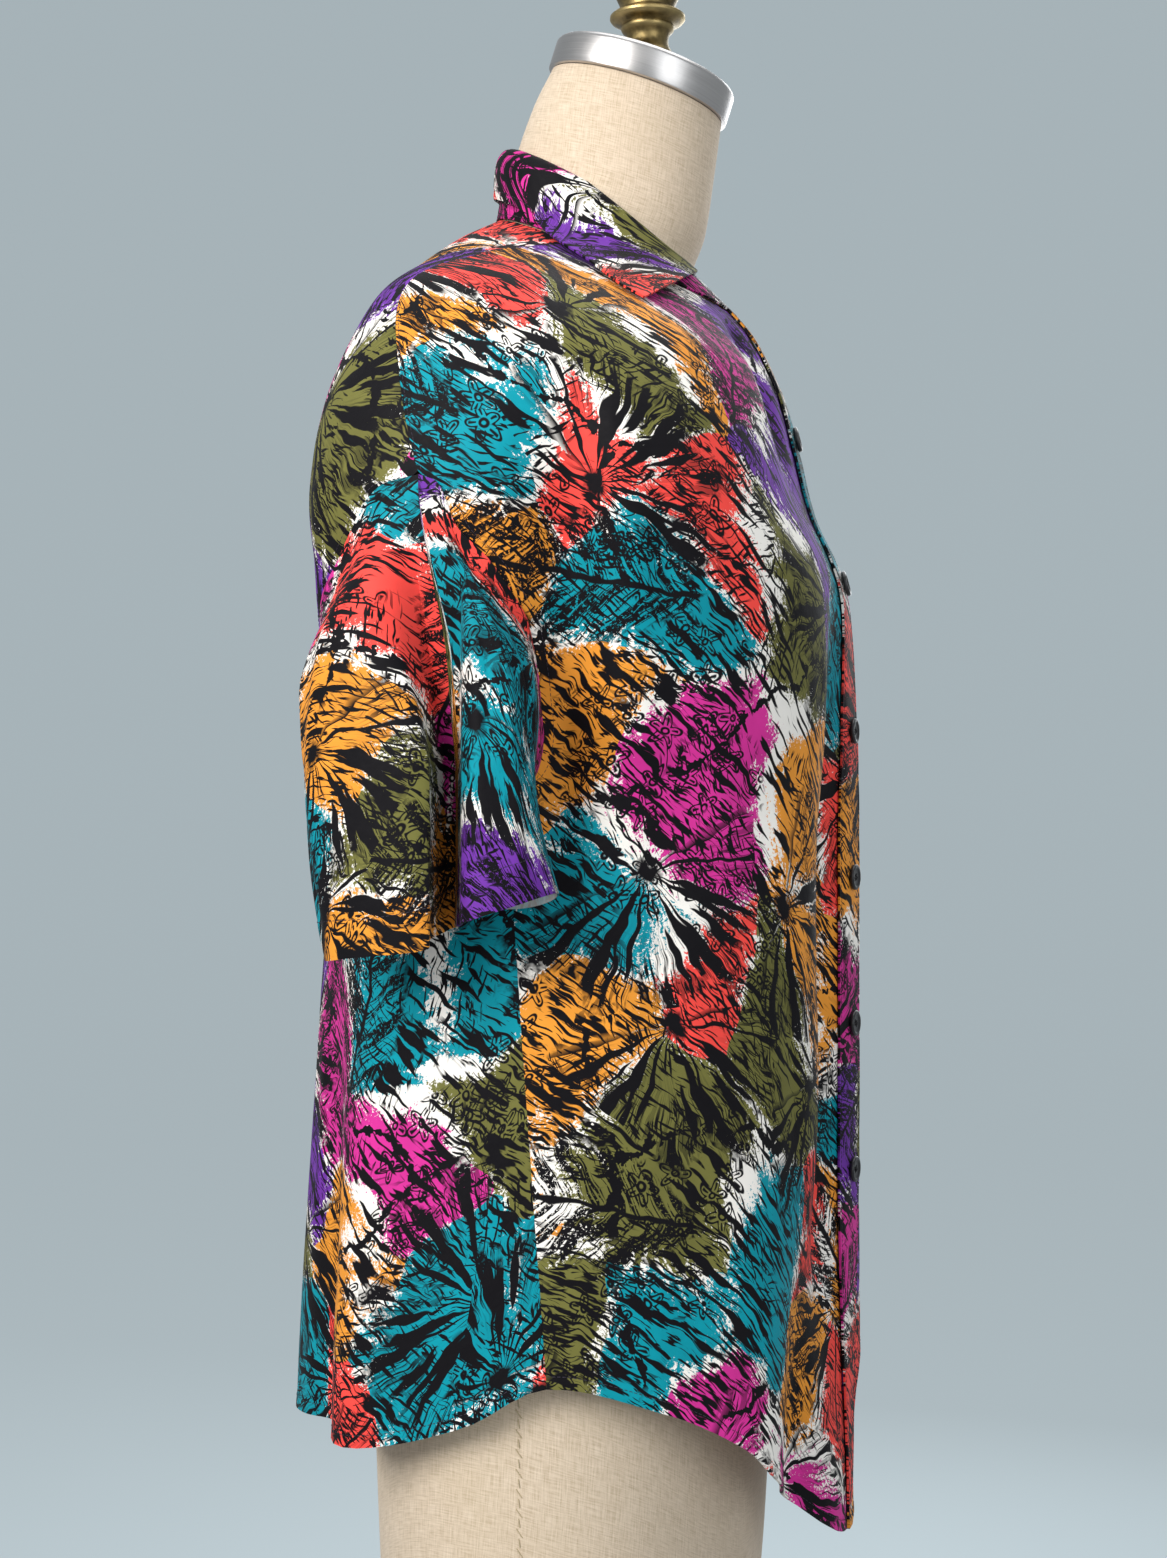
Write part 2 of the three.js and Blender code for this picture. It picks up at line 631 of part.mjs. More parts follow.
// A closed body through rings, with a flat end at the top and at the bottom.
function closedBody(rings) {
  const around = rings[0].length;
  const positions = rings.flat().flatMap((point) => point.toArray());
  const at = (i, j) => i * around + (j % around);
  const faces = [];
  for (let i = 0; i < rings.length - 1; i += 1)
    for (let j = 0; j < around; j += 1) {
      faces.push(at(i, j), at(i, j + 1), at(i + 1, j + 1));
      faces.push(at(i, j), at(i + 1, j + 1), at(i + 1, j));
    }
  for (let j = 1; j < around - 1; j += 1) {
    faces.push(at(0, 0), at(0, j + 1), at(0, j));
    const last = rings.length - 1;
    faces.push(at(last, 0), at(last, j), at(last, j + 1));
  }
  const geometry = new THREE.BufferGeometry();
  geometry.setAttribute("position", new THREE.Float32BufferAttribute(positions, 3));
  geometry.setIndex(faces);
  geometry.computeVertexNormals();
  return geometry;
}

// The hollow beside the collar bone, into which the shirt's front dips.
const COLLAR_BONE = { angle: 25, width: 13, depth: 10, top: 1375, full: 1345, fade: 1285, end: 1215 };
function formHollow(angle, z) {
  const { top, full, fade, end, width, depth } = COLLAR_BONE;
  const grown = ease(z, top, full) * ease(z, end, fade);
  return -depth * grown * bell(angleBetween(angle, COLLAR_BONE.angle), width);
}

function formTorso() {
  return closedBody(
    FORM_STEPS.map((step) =>
      Array.from({ length: FORM_AROUND }, (_, j) => {
        const angle = (j / FORM_AROUND) * 360;
        const ring = formRing(step);
        return ringPoint(ring, angle, formHollow(angle, ringPoint(ring, angle).z));
      }),
    ),
  );
}

// The cap and the finial stand square on the neck's slanted top.
const capTilt = Math.atan2(NECK_TOP.backZ - NECK_TOP.frontZ, NECK_TOP.backY - NECK_TOP.frontY);
const CAP = { radius: 55.5, height: 19, edge: 2 };
const neckMiddle = new THREE.Vector3(
  0,
  (NECK_TOP.backY + NECK_TOP.frontY) / 2,
  (NECK_TOP.backZ + NECK_TOP.frontZ) / 2,
);
const lathe = (profile, segments) =>
  new THREE.LatheGeometry(
    profile.map(([x, y]) => new THREE.Vector2(x, y)),
    segments,
  ).rotateX(Math.PI / 2);

function neckCap() {
  const { radius, height, edge } = CAP;
  return lathe(
    [
      [0, 0],
      [radius, 0],
      [radius, height - edge],
      [radius - edge, height],
      [0, height + 1],
    ],
    28,
  );
}
// The finial stands upright. Its foot leans into the slope of the cap.
const FINIAL_PROFILE = [
  [0, 0],
  [17, 0],
  [17.5, 4],
  [15, 8],
  [12.3, 13],
  [12.8, 17],
  [15.5, 21],
  [15.5, 23],
  [22, 26],
  [22.5, 28.5],
  [16, 33],
  [19, 40],
  [20, 46],
  [16, 53],
  [8, 58],
  [0, 60],
];
const FINIAL_WAIST = 13; // height of the narrowest place, where the lean ends
function finialGeometry() {
  const geometry = lathe(FINIAL_PROFILE, 16);
  const places = geometry.getAttribute("position");
  for (let i = 0; i < places.count; i += 1) {
    const share = clamp(1 - places.getZ(i) / FINIAL_WAIST, 0, 1);
    places.setZ(i, places.getZ(i) + share * places.getY(i) * Math.tan(capTilt));
  }
  return geometry;
}

// The stand: a pole under the torso, and a round foot.
const FOOT = { radius: 210, rim: 12, hub: 30, height: 62 };
const POLE_RADIUS = 16;
function poleGeometry() {
  const from = FOOT.height + SEAM;
  const to = FORM_BOTTOM - SEAM;
  return lathe(
    [
      [0, from],
      [POLE_RADIUS, from],
      [POLE_RADIUS, to - 8],
      [POLE_RADIUS * 2.5, to - 8],
      [POLE_RADIUS * 2.5, to],
      [0, to],
    ],
    16,
  );
}
function footGeometry() {
  const { radius, rim, hub, height } = FOOT;
  return lathe(
    [
      [0, 0],
      [radius, 0],
      [radius, rim - 3],
      [radius - 3, rim],
      [radius * 0.6, rim + 8],
      [hub + 12, rim + 16],
      [hub, rim + 28],
      [hub - 4, height],
      [0, height],
    ],
    28,
  );
}

// The parts, each with its colour.

const cloth = (color) => new THREE.MeshStandardMaterial({ color, roughness: 0.82, metalness: 0 });
const teal = () => cloth(0x0a91a0);
const violet = () => cloth(0x6f3c9c);
const coral = () => cloth(0xf0524c);
const orange = () => cloth(0xe0953f);
const olive = () => cloth(0x6c6a3c);
const magenta = () => cloth(0xcd3c91);
const canvas = () => new THREE.MeshStandardMaterial({ color: 0xd9cdb4, roughness: 0.9 });
const brushed = () => new THREE.MeshStandardMaterial({ color: 0xb9b9b6, roughness: 0.35, metalness: 1 });
const brass = () => new THREE.MeshStandardMaterial({ color: 0x8a7440, roughness: 0.42, metalness: 1 });
const iron = () => new THREE.MeshStandardMaterial({ color: 0x2a2a2b, roughness: 0.5, metalness: 0.7 });
const blackPlastic = () => new THREE.MeshStandardMaterial({ color: 0x141414, roughness: 0.35 });

const dressed = new THREE.Group();
function add(name, geometry, material, parent = dressed) {
  const mesh = new THREE.Mesh(geometry, material);
  mesh.name = name;
  parent.add(mesh);
  return mesh;
}

add("shirt_back", backPanel(), violet());
add("shirt_front_right", frontPanel(RIGHT), teal());
add("shirt_front_left", frontPanel(LEFT), coral());
add("placket_right", frontBand(RIGHT), orange());
add("placket_left", frontBand(LEFT), olive());
add("sleeve_right", sleeve(RIGHT), magenta());
add("sleeve_left", sleeve(LEFT), magenta());
add("collar_stand", collarStand(), coral());
add("collar_fall", collarFall(), olive());
for (let index = 0; index < BUTTON.count; index += 1)
  placeButton(add(`button_${index + 1}`, buttonGeometry(), blackPlastic()), index);

add("form_torso", formTorso(), canvas());
const neckTop = new THREE.Group();
neckTop.position.copy(neckMiddle);
neckTop.rotation.x = capTilt;
dressed.add(neckTop);
add("neck_cap", neckCap(), brushed(), neckTop).position.z = SEAM;
const finial = add("finial", finialGeometry(), brass());
finial.position
  .set(0, 0, CAP.height + 1 + 3 * SEAM)
  .applyAxisAngle(new THREE.Vector3(1, 0, 0), capTilt)
  .add(neckMiddle);
add("pole", poleGeometry(), iron());
add("base", footGeometry(), iron());

export default dressed;
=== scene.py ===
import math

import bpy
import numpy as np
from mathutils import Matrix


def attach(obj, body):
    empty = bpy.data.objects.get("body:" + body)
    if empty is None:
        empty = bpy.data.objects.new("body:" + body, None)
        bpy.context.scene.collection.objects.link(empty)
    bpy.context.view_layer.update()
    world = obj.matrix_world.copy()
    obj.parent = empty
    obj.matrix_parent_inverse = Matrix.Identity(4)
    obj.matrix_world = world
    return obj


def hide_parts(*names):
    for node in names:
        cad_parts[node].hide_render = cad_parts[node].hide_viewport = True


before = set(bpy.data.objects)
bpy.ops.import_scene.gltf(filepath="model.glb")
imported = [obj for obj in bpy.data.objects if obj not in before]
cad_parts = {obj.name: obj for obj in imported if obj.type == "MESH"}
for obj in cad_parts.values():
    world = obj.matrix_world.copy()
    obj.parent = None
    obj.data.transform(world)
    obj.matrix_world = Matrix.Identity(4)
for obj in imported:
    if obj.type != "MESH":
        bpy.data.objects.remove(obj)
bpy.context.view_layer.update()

# A short sleeved printed shirt on a dress form. Lengths are millimetres until a mesh is made.
# An angle is measured round the body in degrees: 0 is the centre front, 90 the wearer's right
# side, 180 the centre back and -90 the left side.

SCENE = bpy.context.scene
COLLECTION = SCENE.collection
MM = 0.001
RIGHT = 1
LEFT = -1

# Camera.

VIEW_TURN = math.radians(281)
AIM = (0.0, -0.005, 1.090)
CAMERA_DISTANCE = 1.3
camera_data = bpy.data.cameras.new("camera")
camera_data.lens = 50
camera_data.sensor_width = 36
camera = bpy.data.objects.new("camera", camera_data)
camera.location = (
    AIM[0] + CAMERA_DISTANCE * math.sin(VIEW_TURN),
    AIM[1] - CAMERA_DISTANCE * math.cos(VIEW_TURN),
    AIM[2],
)
camera.rotation_euler = (math.pi / 2, 0, VIEW_TURN)
COLLECTION.objects.link(camera)
SCENE.camera = camera
SCENE.view_settings.view_transform = "Standard"


# Small helpers.

def ease(value, start, end):
    t = np.clip((np.asarray(value, float) - start) / (end - start), 0, 1)
    return t * t * (3 - 2 * t)


def mix(a, b, share):
    return a + (b - a) * share


def bell(distance, width):
    return np.exp(-((distance / width) ** 2))


def angle_between(a, b):
    return np.mod(np.mod(a - b, 360) + 540, 360) - 180


def unit(vectors):
    return vectors / np.maximum(np.linalg.norm(vectors, axis=-1, keepdims=True), 1e-9)


def column(keys, values):
    """A smooth curve through the values at the keys."""
    keys = np.array(keys, float)
    values = np.array(values, float)
    if keys[0] > keys[-1]:
        keys, values = keys[::-1], values[::-1]
    slopes = np.empty_like(values)
    slopes[1:-1] = (values[2:] - values[:-2]) / (keys[2:] - keys[:-2])
    slopes[0] = (values[1] - values[0]) / (keys[1] - keys[0])
    slopes[-1] = (values[-1] - values[-2]) / (keys[-1] - keys[-2])

    def at(place):
        place = np.clip(place, keys[0], keys[-1])
        i = np.clip(np.searchsorted(keys, place, side="right") - 1, 0, len(keys) - 2)
        span = keys[i + 1] - keys[i]
        t = (place - keys[i]) / span
        return (
            values[i] * (2 * t**3 - 3 * t**2 + 1)
            + slopes[i] * span * (t**3 - 2 * t**2 + t)
            + values[i + 1] * (3 * t**2 - 2 * t**3)
            + slopes[i + 1] * span * (t**3 - t**2)
        )

    return at


def grain(x, y, seed):
    """Smooth uneven values from -0.5 to 0.5, about one swing for each whole step of x or y."""
    lattice = np.random.default_rng(seed).random((97, 97))
    i = np.floor(x).astype(int)
    j = np.floor(y).astype(int)
    u = x - i
    v = y - j
    u = u * u * (3 - 2 * u)
    v = v * v * (3 - 2 * v)
    top = mix(lattice[i % 97, j % 97], lattice[(i + 1) % 97, j % 97], u)
    low = mix(lattice[i % 97, (j + 1) % 97], lattice[(i + 1) % 97, (j + 1) % 97], u)
    return mix(top, low, v) - 0.5


# Rings round the body: the points at the centre front, the side and the centre back, and how
# square the plan is. 2 is an ellipse.

RING_COLUMNS = ("front_y", "front_z", "side_x", "side_y", "side_z", "back_y", "back_z", "square")


def level(z, front_y, side_x, side_y, back_y, square):
    return (front_y, z, side_x, side_y, z, back_y, z, square)


def rings_of(rows):
    table = np.array(rows, float)
    curves = [column(range(len(rows)), table[:, i]) for i in range(len(RING_COLUMNS))]
    return lambda index: dict(zip(RING_COLUMNS, (curve(index) for curve in curves)))


def ring_point(ring, angle, out=0.0):
    s = np.sin(np.radians(angle))
    c = np.cos(np.radians(angle))
    ahead = c > 0
    reach = np.abs(np.where(ahead, ring["front_y"], ring["back_y"]) - ring["side_y"])
    power = ring["square"]
    bare = (np.abs(s / ring["side_x"]) ** power + np.abs(c / reach) ** power) ** (-1 / power)
    radius = bare + out
    turn = np.abs(bare * c) / reach
    z = mix(ring["side_z"], np.where(ahead, ring["front_z"], ring["back_z"]), turn)
    return np.stack(np.broadcast_arrays(-radius * s, ring["side_y"] - radius * c, z), axis=-1)


SHIRT_ROWS = [
    (-96, 1362, 66, -12, 1395, 46, 1422, 2.1),
    (-106, 1349, 94, -8, 1384, 68, 1408, 2.2),
    (-115, 1332, 130, -4, 1371, 87, 1386, 2.4),
    (-124, 1309, 182, 0, 1349, 104, 1355, 2.7),
    (-132, 1278, 214, 0, 1300, 120, 1308, 2.8),
    level(1243, -141, 226, 0, 130, 2.8),
    level(1197, -159, 220, 0, 132, 2.6),
    level(1121, -162, 205, 0, 131, 2.5),
    level(1060, -162, 194, 0, 130, 2.4),
    level(900, -162, 195, 0, 139, 2.3),
    level(770, -162, 199, 0, 147, 2.3),
    level(640, -163, 202, 0, 152, 2.3),
]
SHOULDER_END = 5
HANG = 8
HEM = 9
HANG_Z = 1060
shirt_ring = rings_of(SHIRT_ROWS)

HEM_ANGLES = (0, 12, 20, 28, 36, 45, 52, 65, 83, 95, 112, 130, 155, 180)
hem_right = column(
    HEM_ANGLES, (653, 660, 671, 688, 702, 720, 741, 764, 779, 758, 740, 736, 729, 724)
)
hem_left = column(
    HEM_ANGLES, (653, 661, 689, 722, 740, 754, 758, 764, 778, 760, 742, 734, 726, 724)
)


def hem_height(angle):
    turned = angle_between(angle, 0)
    return np.where(turned >= 0, hem_right(turned), hem_left(-turned))


# Folds: angle, width in degrees, depth out, and the heights at which each one starts, is full,
# begins to fade and ends. The lowest ones run on past the hem.
FOLDS = [
    (80, 6, -22, 1320, 1215, 1130, 1010),
    (-79, 7, -20, 1320, 1215, 1130, 1000),
    (119, 9, 7, 1340, 1260, 1190, 1080),
    (-120, 9, 7, 1340, 1260, 1190, 1080),
    (25, 7, -7, 1362, 1335, 1290, 1225),
    (64, 6, -5, 1290, 1190, 1100, 980),
    (-60, 6, -6, 1290, 1190, 1100, 960),
    (16, 9, -15, 1250, 1040, 860, 660),
    (-10, 9, 6, 1240, 1040, 880, 660),
    (31, 9, -20, 900, 700, 560, 400),
    (48, 9, 6, 980, 780, 560, 400),
    (-34, 10, 17, 1000, 800, 560, 400),
    (-60, 9, -8, 980, 780, 560, 400),
    (117, 7, 9, 1010, 780, 560, 400),
    (130, 7, -12, 1090, 760, 560, 400),
    (151, 11, 7, 1240, 900, 560, 400),
    (174, 9, -7, 1280, 1000, 560, 400),
    (200, 10, 7, 1240, 900, 560, 400),
    (222, 9, -8, 1090, 820, 560, 400),
    (243, 8, 8, 1010, 800, 560, 400),
]

# Small creases: from angle and height, to angle and height, half width in mm, depth out.
CREASES = [
    # Right front, beside the sleeve and under the chest.
    (74, 1300, 71, 1180, 6, 2.2),
    (70, 1290, 66, 1160, 5, -1.8),
    (66, 1265, 60, 1130, 7, 1.6),
    (58, 1235, 50, 1120, 6, -1.3),
    (76, 1120, 52, 1010, 8, -2.2),
    (78, 1085, 58, 940, 9, 2.0),
    (68, 1040, 62, 900, 7, -1.6),
    (44, 1090, 36, 950, 9, 1.8),
    (40, 1010, 38, 880, 8, -1.7),
    (28, 1170, 22, 1060, 8, 1.6),
    (24, 990, 25, 850, 6, 1.5),
    (62, 880, 66, 800, 8, 1.8),
    (72, 900, 75, 810, 6, -1.4),
    # Left front.
    (-72, 1295, -67, 1170, 6, 2.0),
    (-67, 1260, -58, 1140, 7, -1.7),
    (-77, 1110, -50, 1000, 8, -2.2),
    (-70, 1060, -52, 930, 9, 2.0),
    (-40, 1110, -30, 960, 9, 1.7),
    (-24, 1180, -20, 1060, 8, -1.5),
    (-28, 1000, -24, 860, 7, 1.4),
    (-66, 900, -70, 800, 7, 1.7),
    (-48, 880, -46, 780, 6, -1.5),
    # Back.
    (112, 1270, 126, 1150, 8, 1.8),
    (121, 1240, 134, 1100, 8, -1.8),
    (100, 1060, 120, 930, 8, -2.2),
    (106, 1010, 118, 880, 7, 2.0),
    (138, 1180, 143, 1020, 8, 1.5),
    (140, 960, 139, 820, 7, 1.6),
    (162, 1120, 160, 930, 8, -1.5),
    (168, 900, 165, 780, 7, 1.4),
    (186, 1210, 188, 1010, 8, 1.4),
    (190, 940, 192, 790, 7, -1.6),
    (212, 1190, 209, 1000, 8, 1.6),
    (214, 930, 213, 800, 6, 1.5),
    (236, 1230, 226, 1080, 8, -1.7),
    (246, 1270, 234, 1160, 8, 1.6),
    (258, 1050, 238, 910, 8, -2.1),
    (252, 980, 242, 870, 7, 1.9),
]
MM_PER_DEGREE = 3.1


def crease(x, y, run, drop, width, wander, phase, grown, fading):
    """How far a crease shows at x, y from its start. It ends at run, drop, and wanders a little."""
    length = math.hypot(run, drop)
    along = (x * run + y * drop) / length
    reach, wave = wander
    aside = (x * drop - y * run) / length + reach * np.sin(along / wave + phase)
    share = along / length
    return ease(share, -0.05, grown) * ease(share, 1.15, fading) * bell(aside, width)


def crease_depth(angle, z):
    total = np.zeros(np.broadcast(angle, z).shape)
    for number, (a0, z0, a1, z1, width, out) in enumerate(CREASES):
        x = angle_between(angle, a0) * MM_PER_DEGREE
        run = angle_between(a1, a0) * MM_PER_DEGREE
        shown = crease(x, z - z0, run, z1 - z0, width, (2.6, 23), number * 1.7, 0.3, 0.6)
        total = total + out * shown
    return total


def one_fold(row, angle, z):
    middle, width, out, start, full, fade, end = row
    grown = ease(z, start, full) * ease(z, end, fade)
    return out * grown * bell(angle_between(angle, middle), width)


def fold_depth(angle, z):
    total = crease_depth(angle, z)
    for row in FOLDS:
        total = total + one_fold(row, angle, z)
    return total


HEIGHT_ROWS = np.linspace(SHOULDER_END, len(SHIRT_ROWS) - 1, 4001)
HEIGHTS = shirt_ring(HEIGHT_ROWS)["side_z"]


def row_at_height(z):
    return np.interp(z, HEIGHTS[::-1], HEIGHT_ROWS[::-1])


def body_at_height(z, angle):
    return ring_point(shirt_ring(row_at_height(z)), angle, fold_depth(angle, z))


def body_point(row, angle):
    row, angle = np.broadcast_arrays(np.asarray(row, float), np.asarray(angle, float))
    hung_z = mix(HANG_Z, hem_height(angle), row - HANG)
    upper = row <= HANG
    ring = shirt_ring(np.where(upper, row, row_at_height(hung_z)))
    z = np.where(upper, ring_point(ring, angle)[..., 2], hung_z)
    return ring_point(ring, angle, fold_depth(angle, z))


def body_out(row, angle):
    row = np.minimum(row, HEM - 0.02)
    down = body_point(row + 0.02, angle) - body_point(np.maximum(row - 0.02, 0), angle)
    round_it = body_point(row, angle + 0.4) - body_point(row, angle - 0.4)
    return unit(np.cross(round_it, down))


# Seams.

ARMHOLE_TOP = 1243
ARMHOLE_BOTTOM = 1085
shoulder_seam = column((0, 1, 2, 3, 4, 5), (90, 98, 106, 109, 104, 99))
ARMHOLE_Z = (1243, 1239, 1216, 1202, 1188, 1170, 1130, 1105, 1090, 1085)
armhole_front = column(ARMHOLE_Z, (99, 96.5, 94, 90.5, 88, 85.5, 84, 84, 86, 89))
armhole_back = column(ARMHOLE_Z, (99, 104.5, 110.5, 114, 118.5, 121.5, 120, 110, 97, 89))
side_seam = column((1085, 1010, 770), (89, 88, 83))


def panel_edge(row, armhole):
    z = body_point(row, 90)[..., 2]
    below = np.where(z > ARMHOLE_BOTTOM, armhole(z), side_seam(z))
    return np.where(row <= SHOULDER_END, shoulder_seam(row), below)


def angle_across(row, distance):
    hung = row_at_height(mix(HANG_Z, hem_height(0.0), row - HANG))
    ring = shirt_ring(np.where(row <= HANG, row, hung))
    return np.degrees(np.arctan2(distance, ring["side_y"] - ring["front_y"]))


# Meshes.

def new_object(name, vertices, faces, materials, uv=None, face_materials=None, sharp=50):
    """An object from points in millimetres. uv holds a point's place in the cloth, in metres."""
    mesh = bpy.data.meshes.new(name)
    mesh.from_pydata((np.asarray(vertices) * MM).tolist(), [], faces)
    for material in materials:
        mesh.materials.append(material)
    mesh.polygons.foreach_set("use_smooth", [True] * len(mesh.polygons))
    if face_materials is not None:
        mesh.polygons.foreach_set("material_index", face_materials)
    if uv is not None:
        layer = mesh.uv_layers.new(name="cloth")
        corners = np.empty(len(mesh.loops), dtype=np.int32)
        mesh.loops.foreach_get("vertex_index", corners)
        layer.data.foreach_set("uv", np.asarray(uv, float)[corners].ravel())
    mesh.set_sharp_from_angle(angle=math.radians(sharp))
    mesh.update()
    made = bpy.data.objects.new(name, mesh)
    COLLECTION.objects.link(made)
    return made


def ring_faces(rings, around, closed=True):
    """Quads between rows of points that follow each other. A closed row's end meets its start."""
    row, j = np.meshgrid(np.arange(rings - 1), np.arange(around if closed else around - 1), indexing="ij")
    k = (j + 1) % around
    i = row * around
    corners = (i + j, i + k, i + around + k, i + around + j)
    return np.stack([corner.ravel() for corner in corners], axis=1)


def turns_of(count):
    return np.arange(count) / count * 2 * np.pi


def grid_normals(points, closed=False):
    if closed:
        across = np.roll(points, -1, axis=1) - np.roll(points, 1, axis=1)
    else:
        across = np.gradient(points, axis=1)
    return unit(np.cross(across, np.gradient(points, axis=0)))


def run_along(path):
    """How far each point of a path lies from its start."""
    return np.concatenate([[0], np.cumsum(np.linalg.norm(np.diff(path, axis=0), axis=-1))])


def summed_down(steps):
    return np.concatenate([np.zeros((1, steps.shape[1])), np.cumsum(steps, axis=0)])


def lengths_down(points):
    return summed_down(np.linalg.norm(np.diff(points, axis=0), axis=-1))


def lengths_across(points):
    return lengths_down(points.swapaxes(0, 1)).T


def moved(points, depth, closed=False):
    return points + grid_normals(points, closed) * depth[..., None]


THICK = 0.8


def cloth_shell(name, points, materials, uv, thick, closed):
    """A thin closed wall over a grid of points, with its inner side in the second material."""
    height, width = points.shape[:2]
    half = np.broadcast_to(np.asarray(thick, float) / 2, (height, width))[..., None]
    offset = grid_normals(points, closed) * half
    count = height * width
    outside = ring_faces(height, width, closed)
    inside = outside[:, [0, 3, 2, 1]] + count
    rims = []

    def rim(first, second):
        rims.append(np.stack([second, first, first + count, second + count], axis=1))

    top = np.arange(width if closed else width - 1)
    following = (top + 1) % width
    last = (height - 1) * width
    rim(top, following)
    rim(last + following, last + top)
    if not closed:
        side = np.arange(height - 1) * width
        rim(side + width, side)
        rim(side + width - 1, side + 2 * width - 1)
    faces = np.concatenate([outside, inside, *rims])
    slots = np.zeros(len(faces), dtype=np.int32)
    slots[len(outside):2 * len(outside)] = 1
    vertices = np.concatenate([(points + offset).reshape(-1, 3), (points - offset).reshape(-1, 3)])
    places = np.concatenate([uv.reshape(-1, 2), uv.reshape(-1, 2)])
    return new_object(name, vertices, faces.tolist(), materials, places, slots)


def surface_area(points, closed=False):
    """The area of a grid of points, in square metres."""
    if closed:
        points = np.concatenate([points, points[:, :1]], axis=1)
    one = np.cross(points[1:, :-1] - points[:-1, :-1], points[:-1, 1:] - points[:-1, :-1])
    two = np.cross(points[1:, :-1] - points[1:, 1:], points[:-1, 1:] - points[1:, 1:])
    area = np.linalg.norm(one, axis=-1).sum() + np.linalg.norm(two, axis=-1).sum()
    return area / 2 * MM * MM


# Node graphs.

class Wire:
    """What leaves a node's socket. A sum of wires makes the nodes that work it out."""

    def __init__(self, graph, socket):
        self.graph = graph
        self.socket = socket

    def math(self, operation, *others):
        return self.graph.math(operation, self, *others)

    def __add__(self, other):
        return self.math("ADD", other)

    def __sub__(self, other):
        return self.math("SUBTRACT", other)

    def __rsub__(self, other):
        return self.graph.math("SUBTRACT", other, self)

    def __mul__(self, other):
        return self.math("MULTIPLY", other)

    def __lt__(self, other):
        return self.math("LESS_THAN", other)

    def __gt__(self, other):
        return self.math("GREATER_THAN", other)

    def __or__(self, other):
        """The greater of two shares, as one layer of ink over another."""
        return self.math("MAXIMUM", other)

    def __abs__(self):
        return self.math("ABSOLUTE")


class Graph:
    def __init__(self, tree):
        self.tree = tree

    def node(self, kind, inputs=None, **settings):
        made = self.tree.nodes.new(kind)
        for name, value in settings.items():
            setattr(made, name, value)
        for key, value in (inputs or {}).items():
            self.feed(made.inputs[key], value)
        return made

    def wire(self, kind, inputs, output=0, **settings):
        return Wire(self, self.node(kind, inputs, **settings).outputs[output])

    def feed(self, socket, value):
        if isinstance(value, Wire):
            value = value.socket
        if isinstance(value, bpy.types.NodeSocket):
            self.tree.links.new(value, socket)
        else:
            socket.default_value = value

    def math(self, operation, *values, clamp=False):
        inputs = dict(enumerate(values))
        return self.wire("ShaderNodeMath", inputs, operation=operation, use_clamp=clamp)

    def vector(self, operation, *values, **named):
        inputs = dict(enumerate(values)) | named
        output = 1 if operation == "LENGTH" else 0
        return self.wire("ShaderNodeVectorMath", inputs, output, operation=operation)

    def noise(self, place, scale, detail=2.0, roughness=0.5, dimensions="2D", output=0):
        inputs = {"Vector": place, "Scale": scale, "Detail": detail, "Roughness": roughness}
        return self.wire("ShaderNodeTexNoise", inputs, output, noise_dimensions=dimensions)

    def cells(self, place, scale, randomness=1.0, feature="F1"):
        inputs = {"Vector": place, "Scale": scale, "Randomness": randomness}
        return self.node("ShaderNodeTexVoronoi", inputs, feature=feature, voronoi_dimensions="2D")

    def cell_edges(self, place, scale):
        cells = self.cells(place, scale, feature="DISTANCE_TO_EDGE")
        return Wire(self, cells.outputs["Distance"])

    def turned(self, place, angle, axis="Z_AXIS"):
        inputs = {"Vector": place, "Angle": angle}
        return self.wire("ShaderNodeVectorRotate", inputs, rotation_type=axis)

    def ramp(self, value, stops, interpolation="LINEAR"):
        made = self.node("ShaderNodeValToRGB", {0: value})
        made.color_ramp.interpolation = interpolation
        elements = made.color_ramp.elements
        while len(elements) < len(stops):
            elements.new(1.0)
        for element, (place, colour) in zip(elements, stops):
            element.position = place
            element.color = (*colour, 1)
        return made.outputs[0]

    def blend(self, share, first, second):
        first, second = ((*c, 1) if isinstance(c, tuple) else c for c in (first, second))
        return self.wire("ShaderNodeMix", {0: share, 6: first, 7: second}, 2, data_type="RGBA")

    def step(self, value, low, high):
        """0 below low and 1 above high, and the other way round where high is below low."""
        inputs = {0: value, 1: low, 2: high, 3: 0.0, 4: 1.0}
        return self.wire("ShaderNodeMapRange", inputs, clamp=True)

    def split(self, vector):
        made = self.node("ShaderNodeSeparateXYZ", {0: vector})
        return [Wire(self, socket) for socket in made.outputs]

    def join(self, x, y, z=0.0):
        return self.wire("ShaderNodeCombineXYZ", {0: x, 1: y, 2: z})


def linear(*colour):
    """A colour of 0 to 255 values, as the shader wants it."""
    shares = [value / 255 for value in colour]
    return tuple(s / 12.92 if s <= 0.04045 else ((s + 0.055) / 1.055) ** 2.4 for s in shares)


# Where each colour of the print's patches starts, on a scale of chance from 0 to 1.
PATCH_COLOURS = [
    (0.0, linear(0, 142, 158)),  # teal
    (0.22, linear(228, 148, 52)),  # orange
    (0.38, linear(242, 74, 66)),  # coral
    (0.54, linear(108, 50, 156)),  # purple
    (0.7, linear(206, 48, 144)),  # magenta
    (0.87, linear(108, 106, 54)),  # olive
]
PAPER = linear(242, 237, 230)
INK = linear(9, 7, 12)
MIDDLE_GREY = (0.5, 0.5, 0.5)


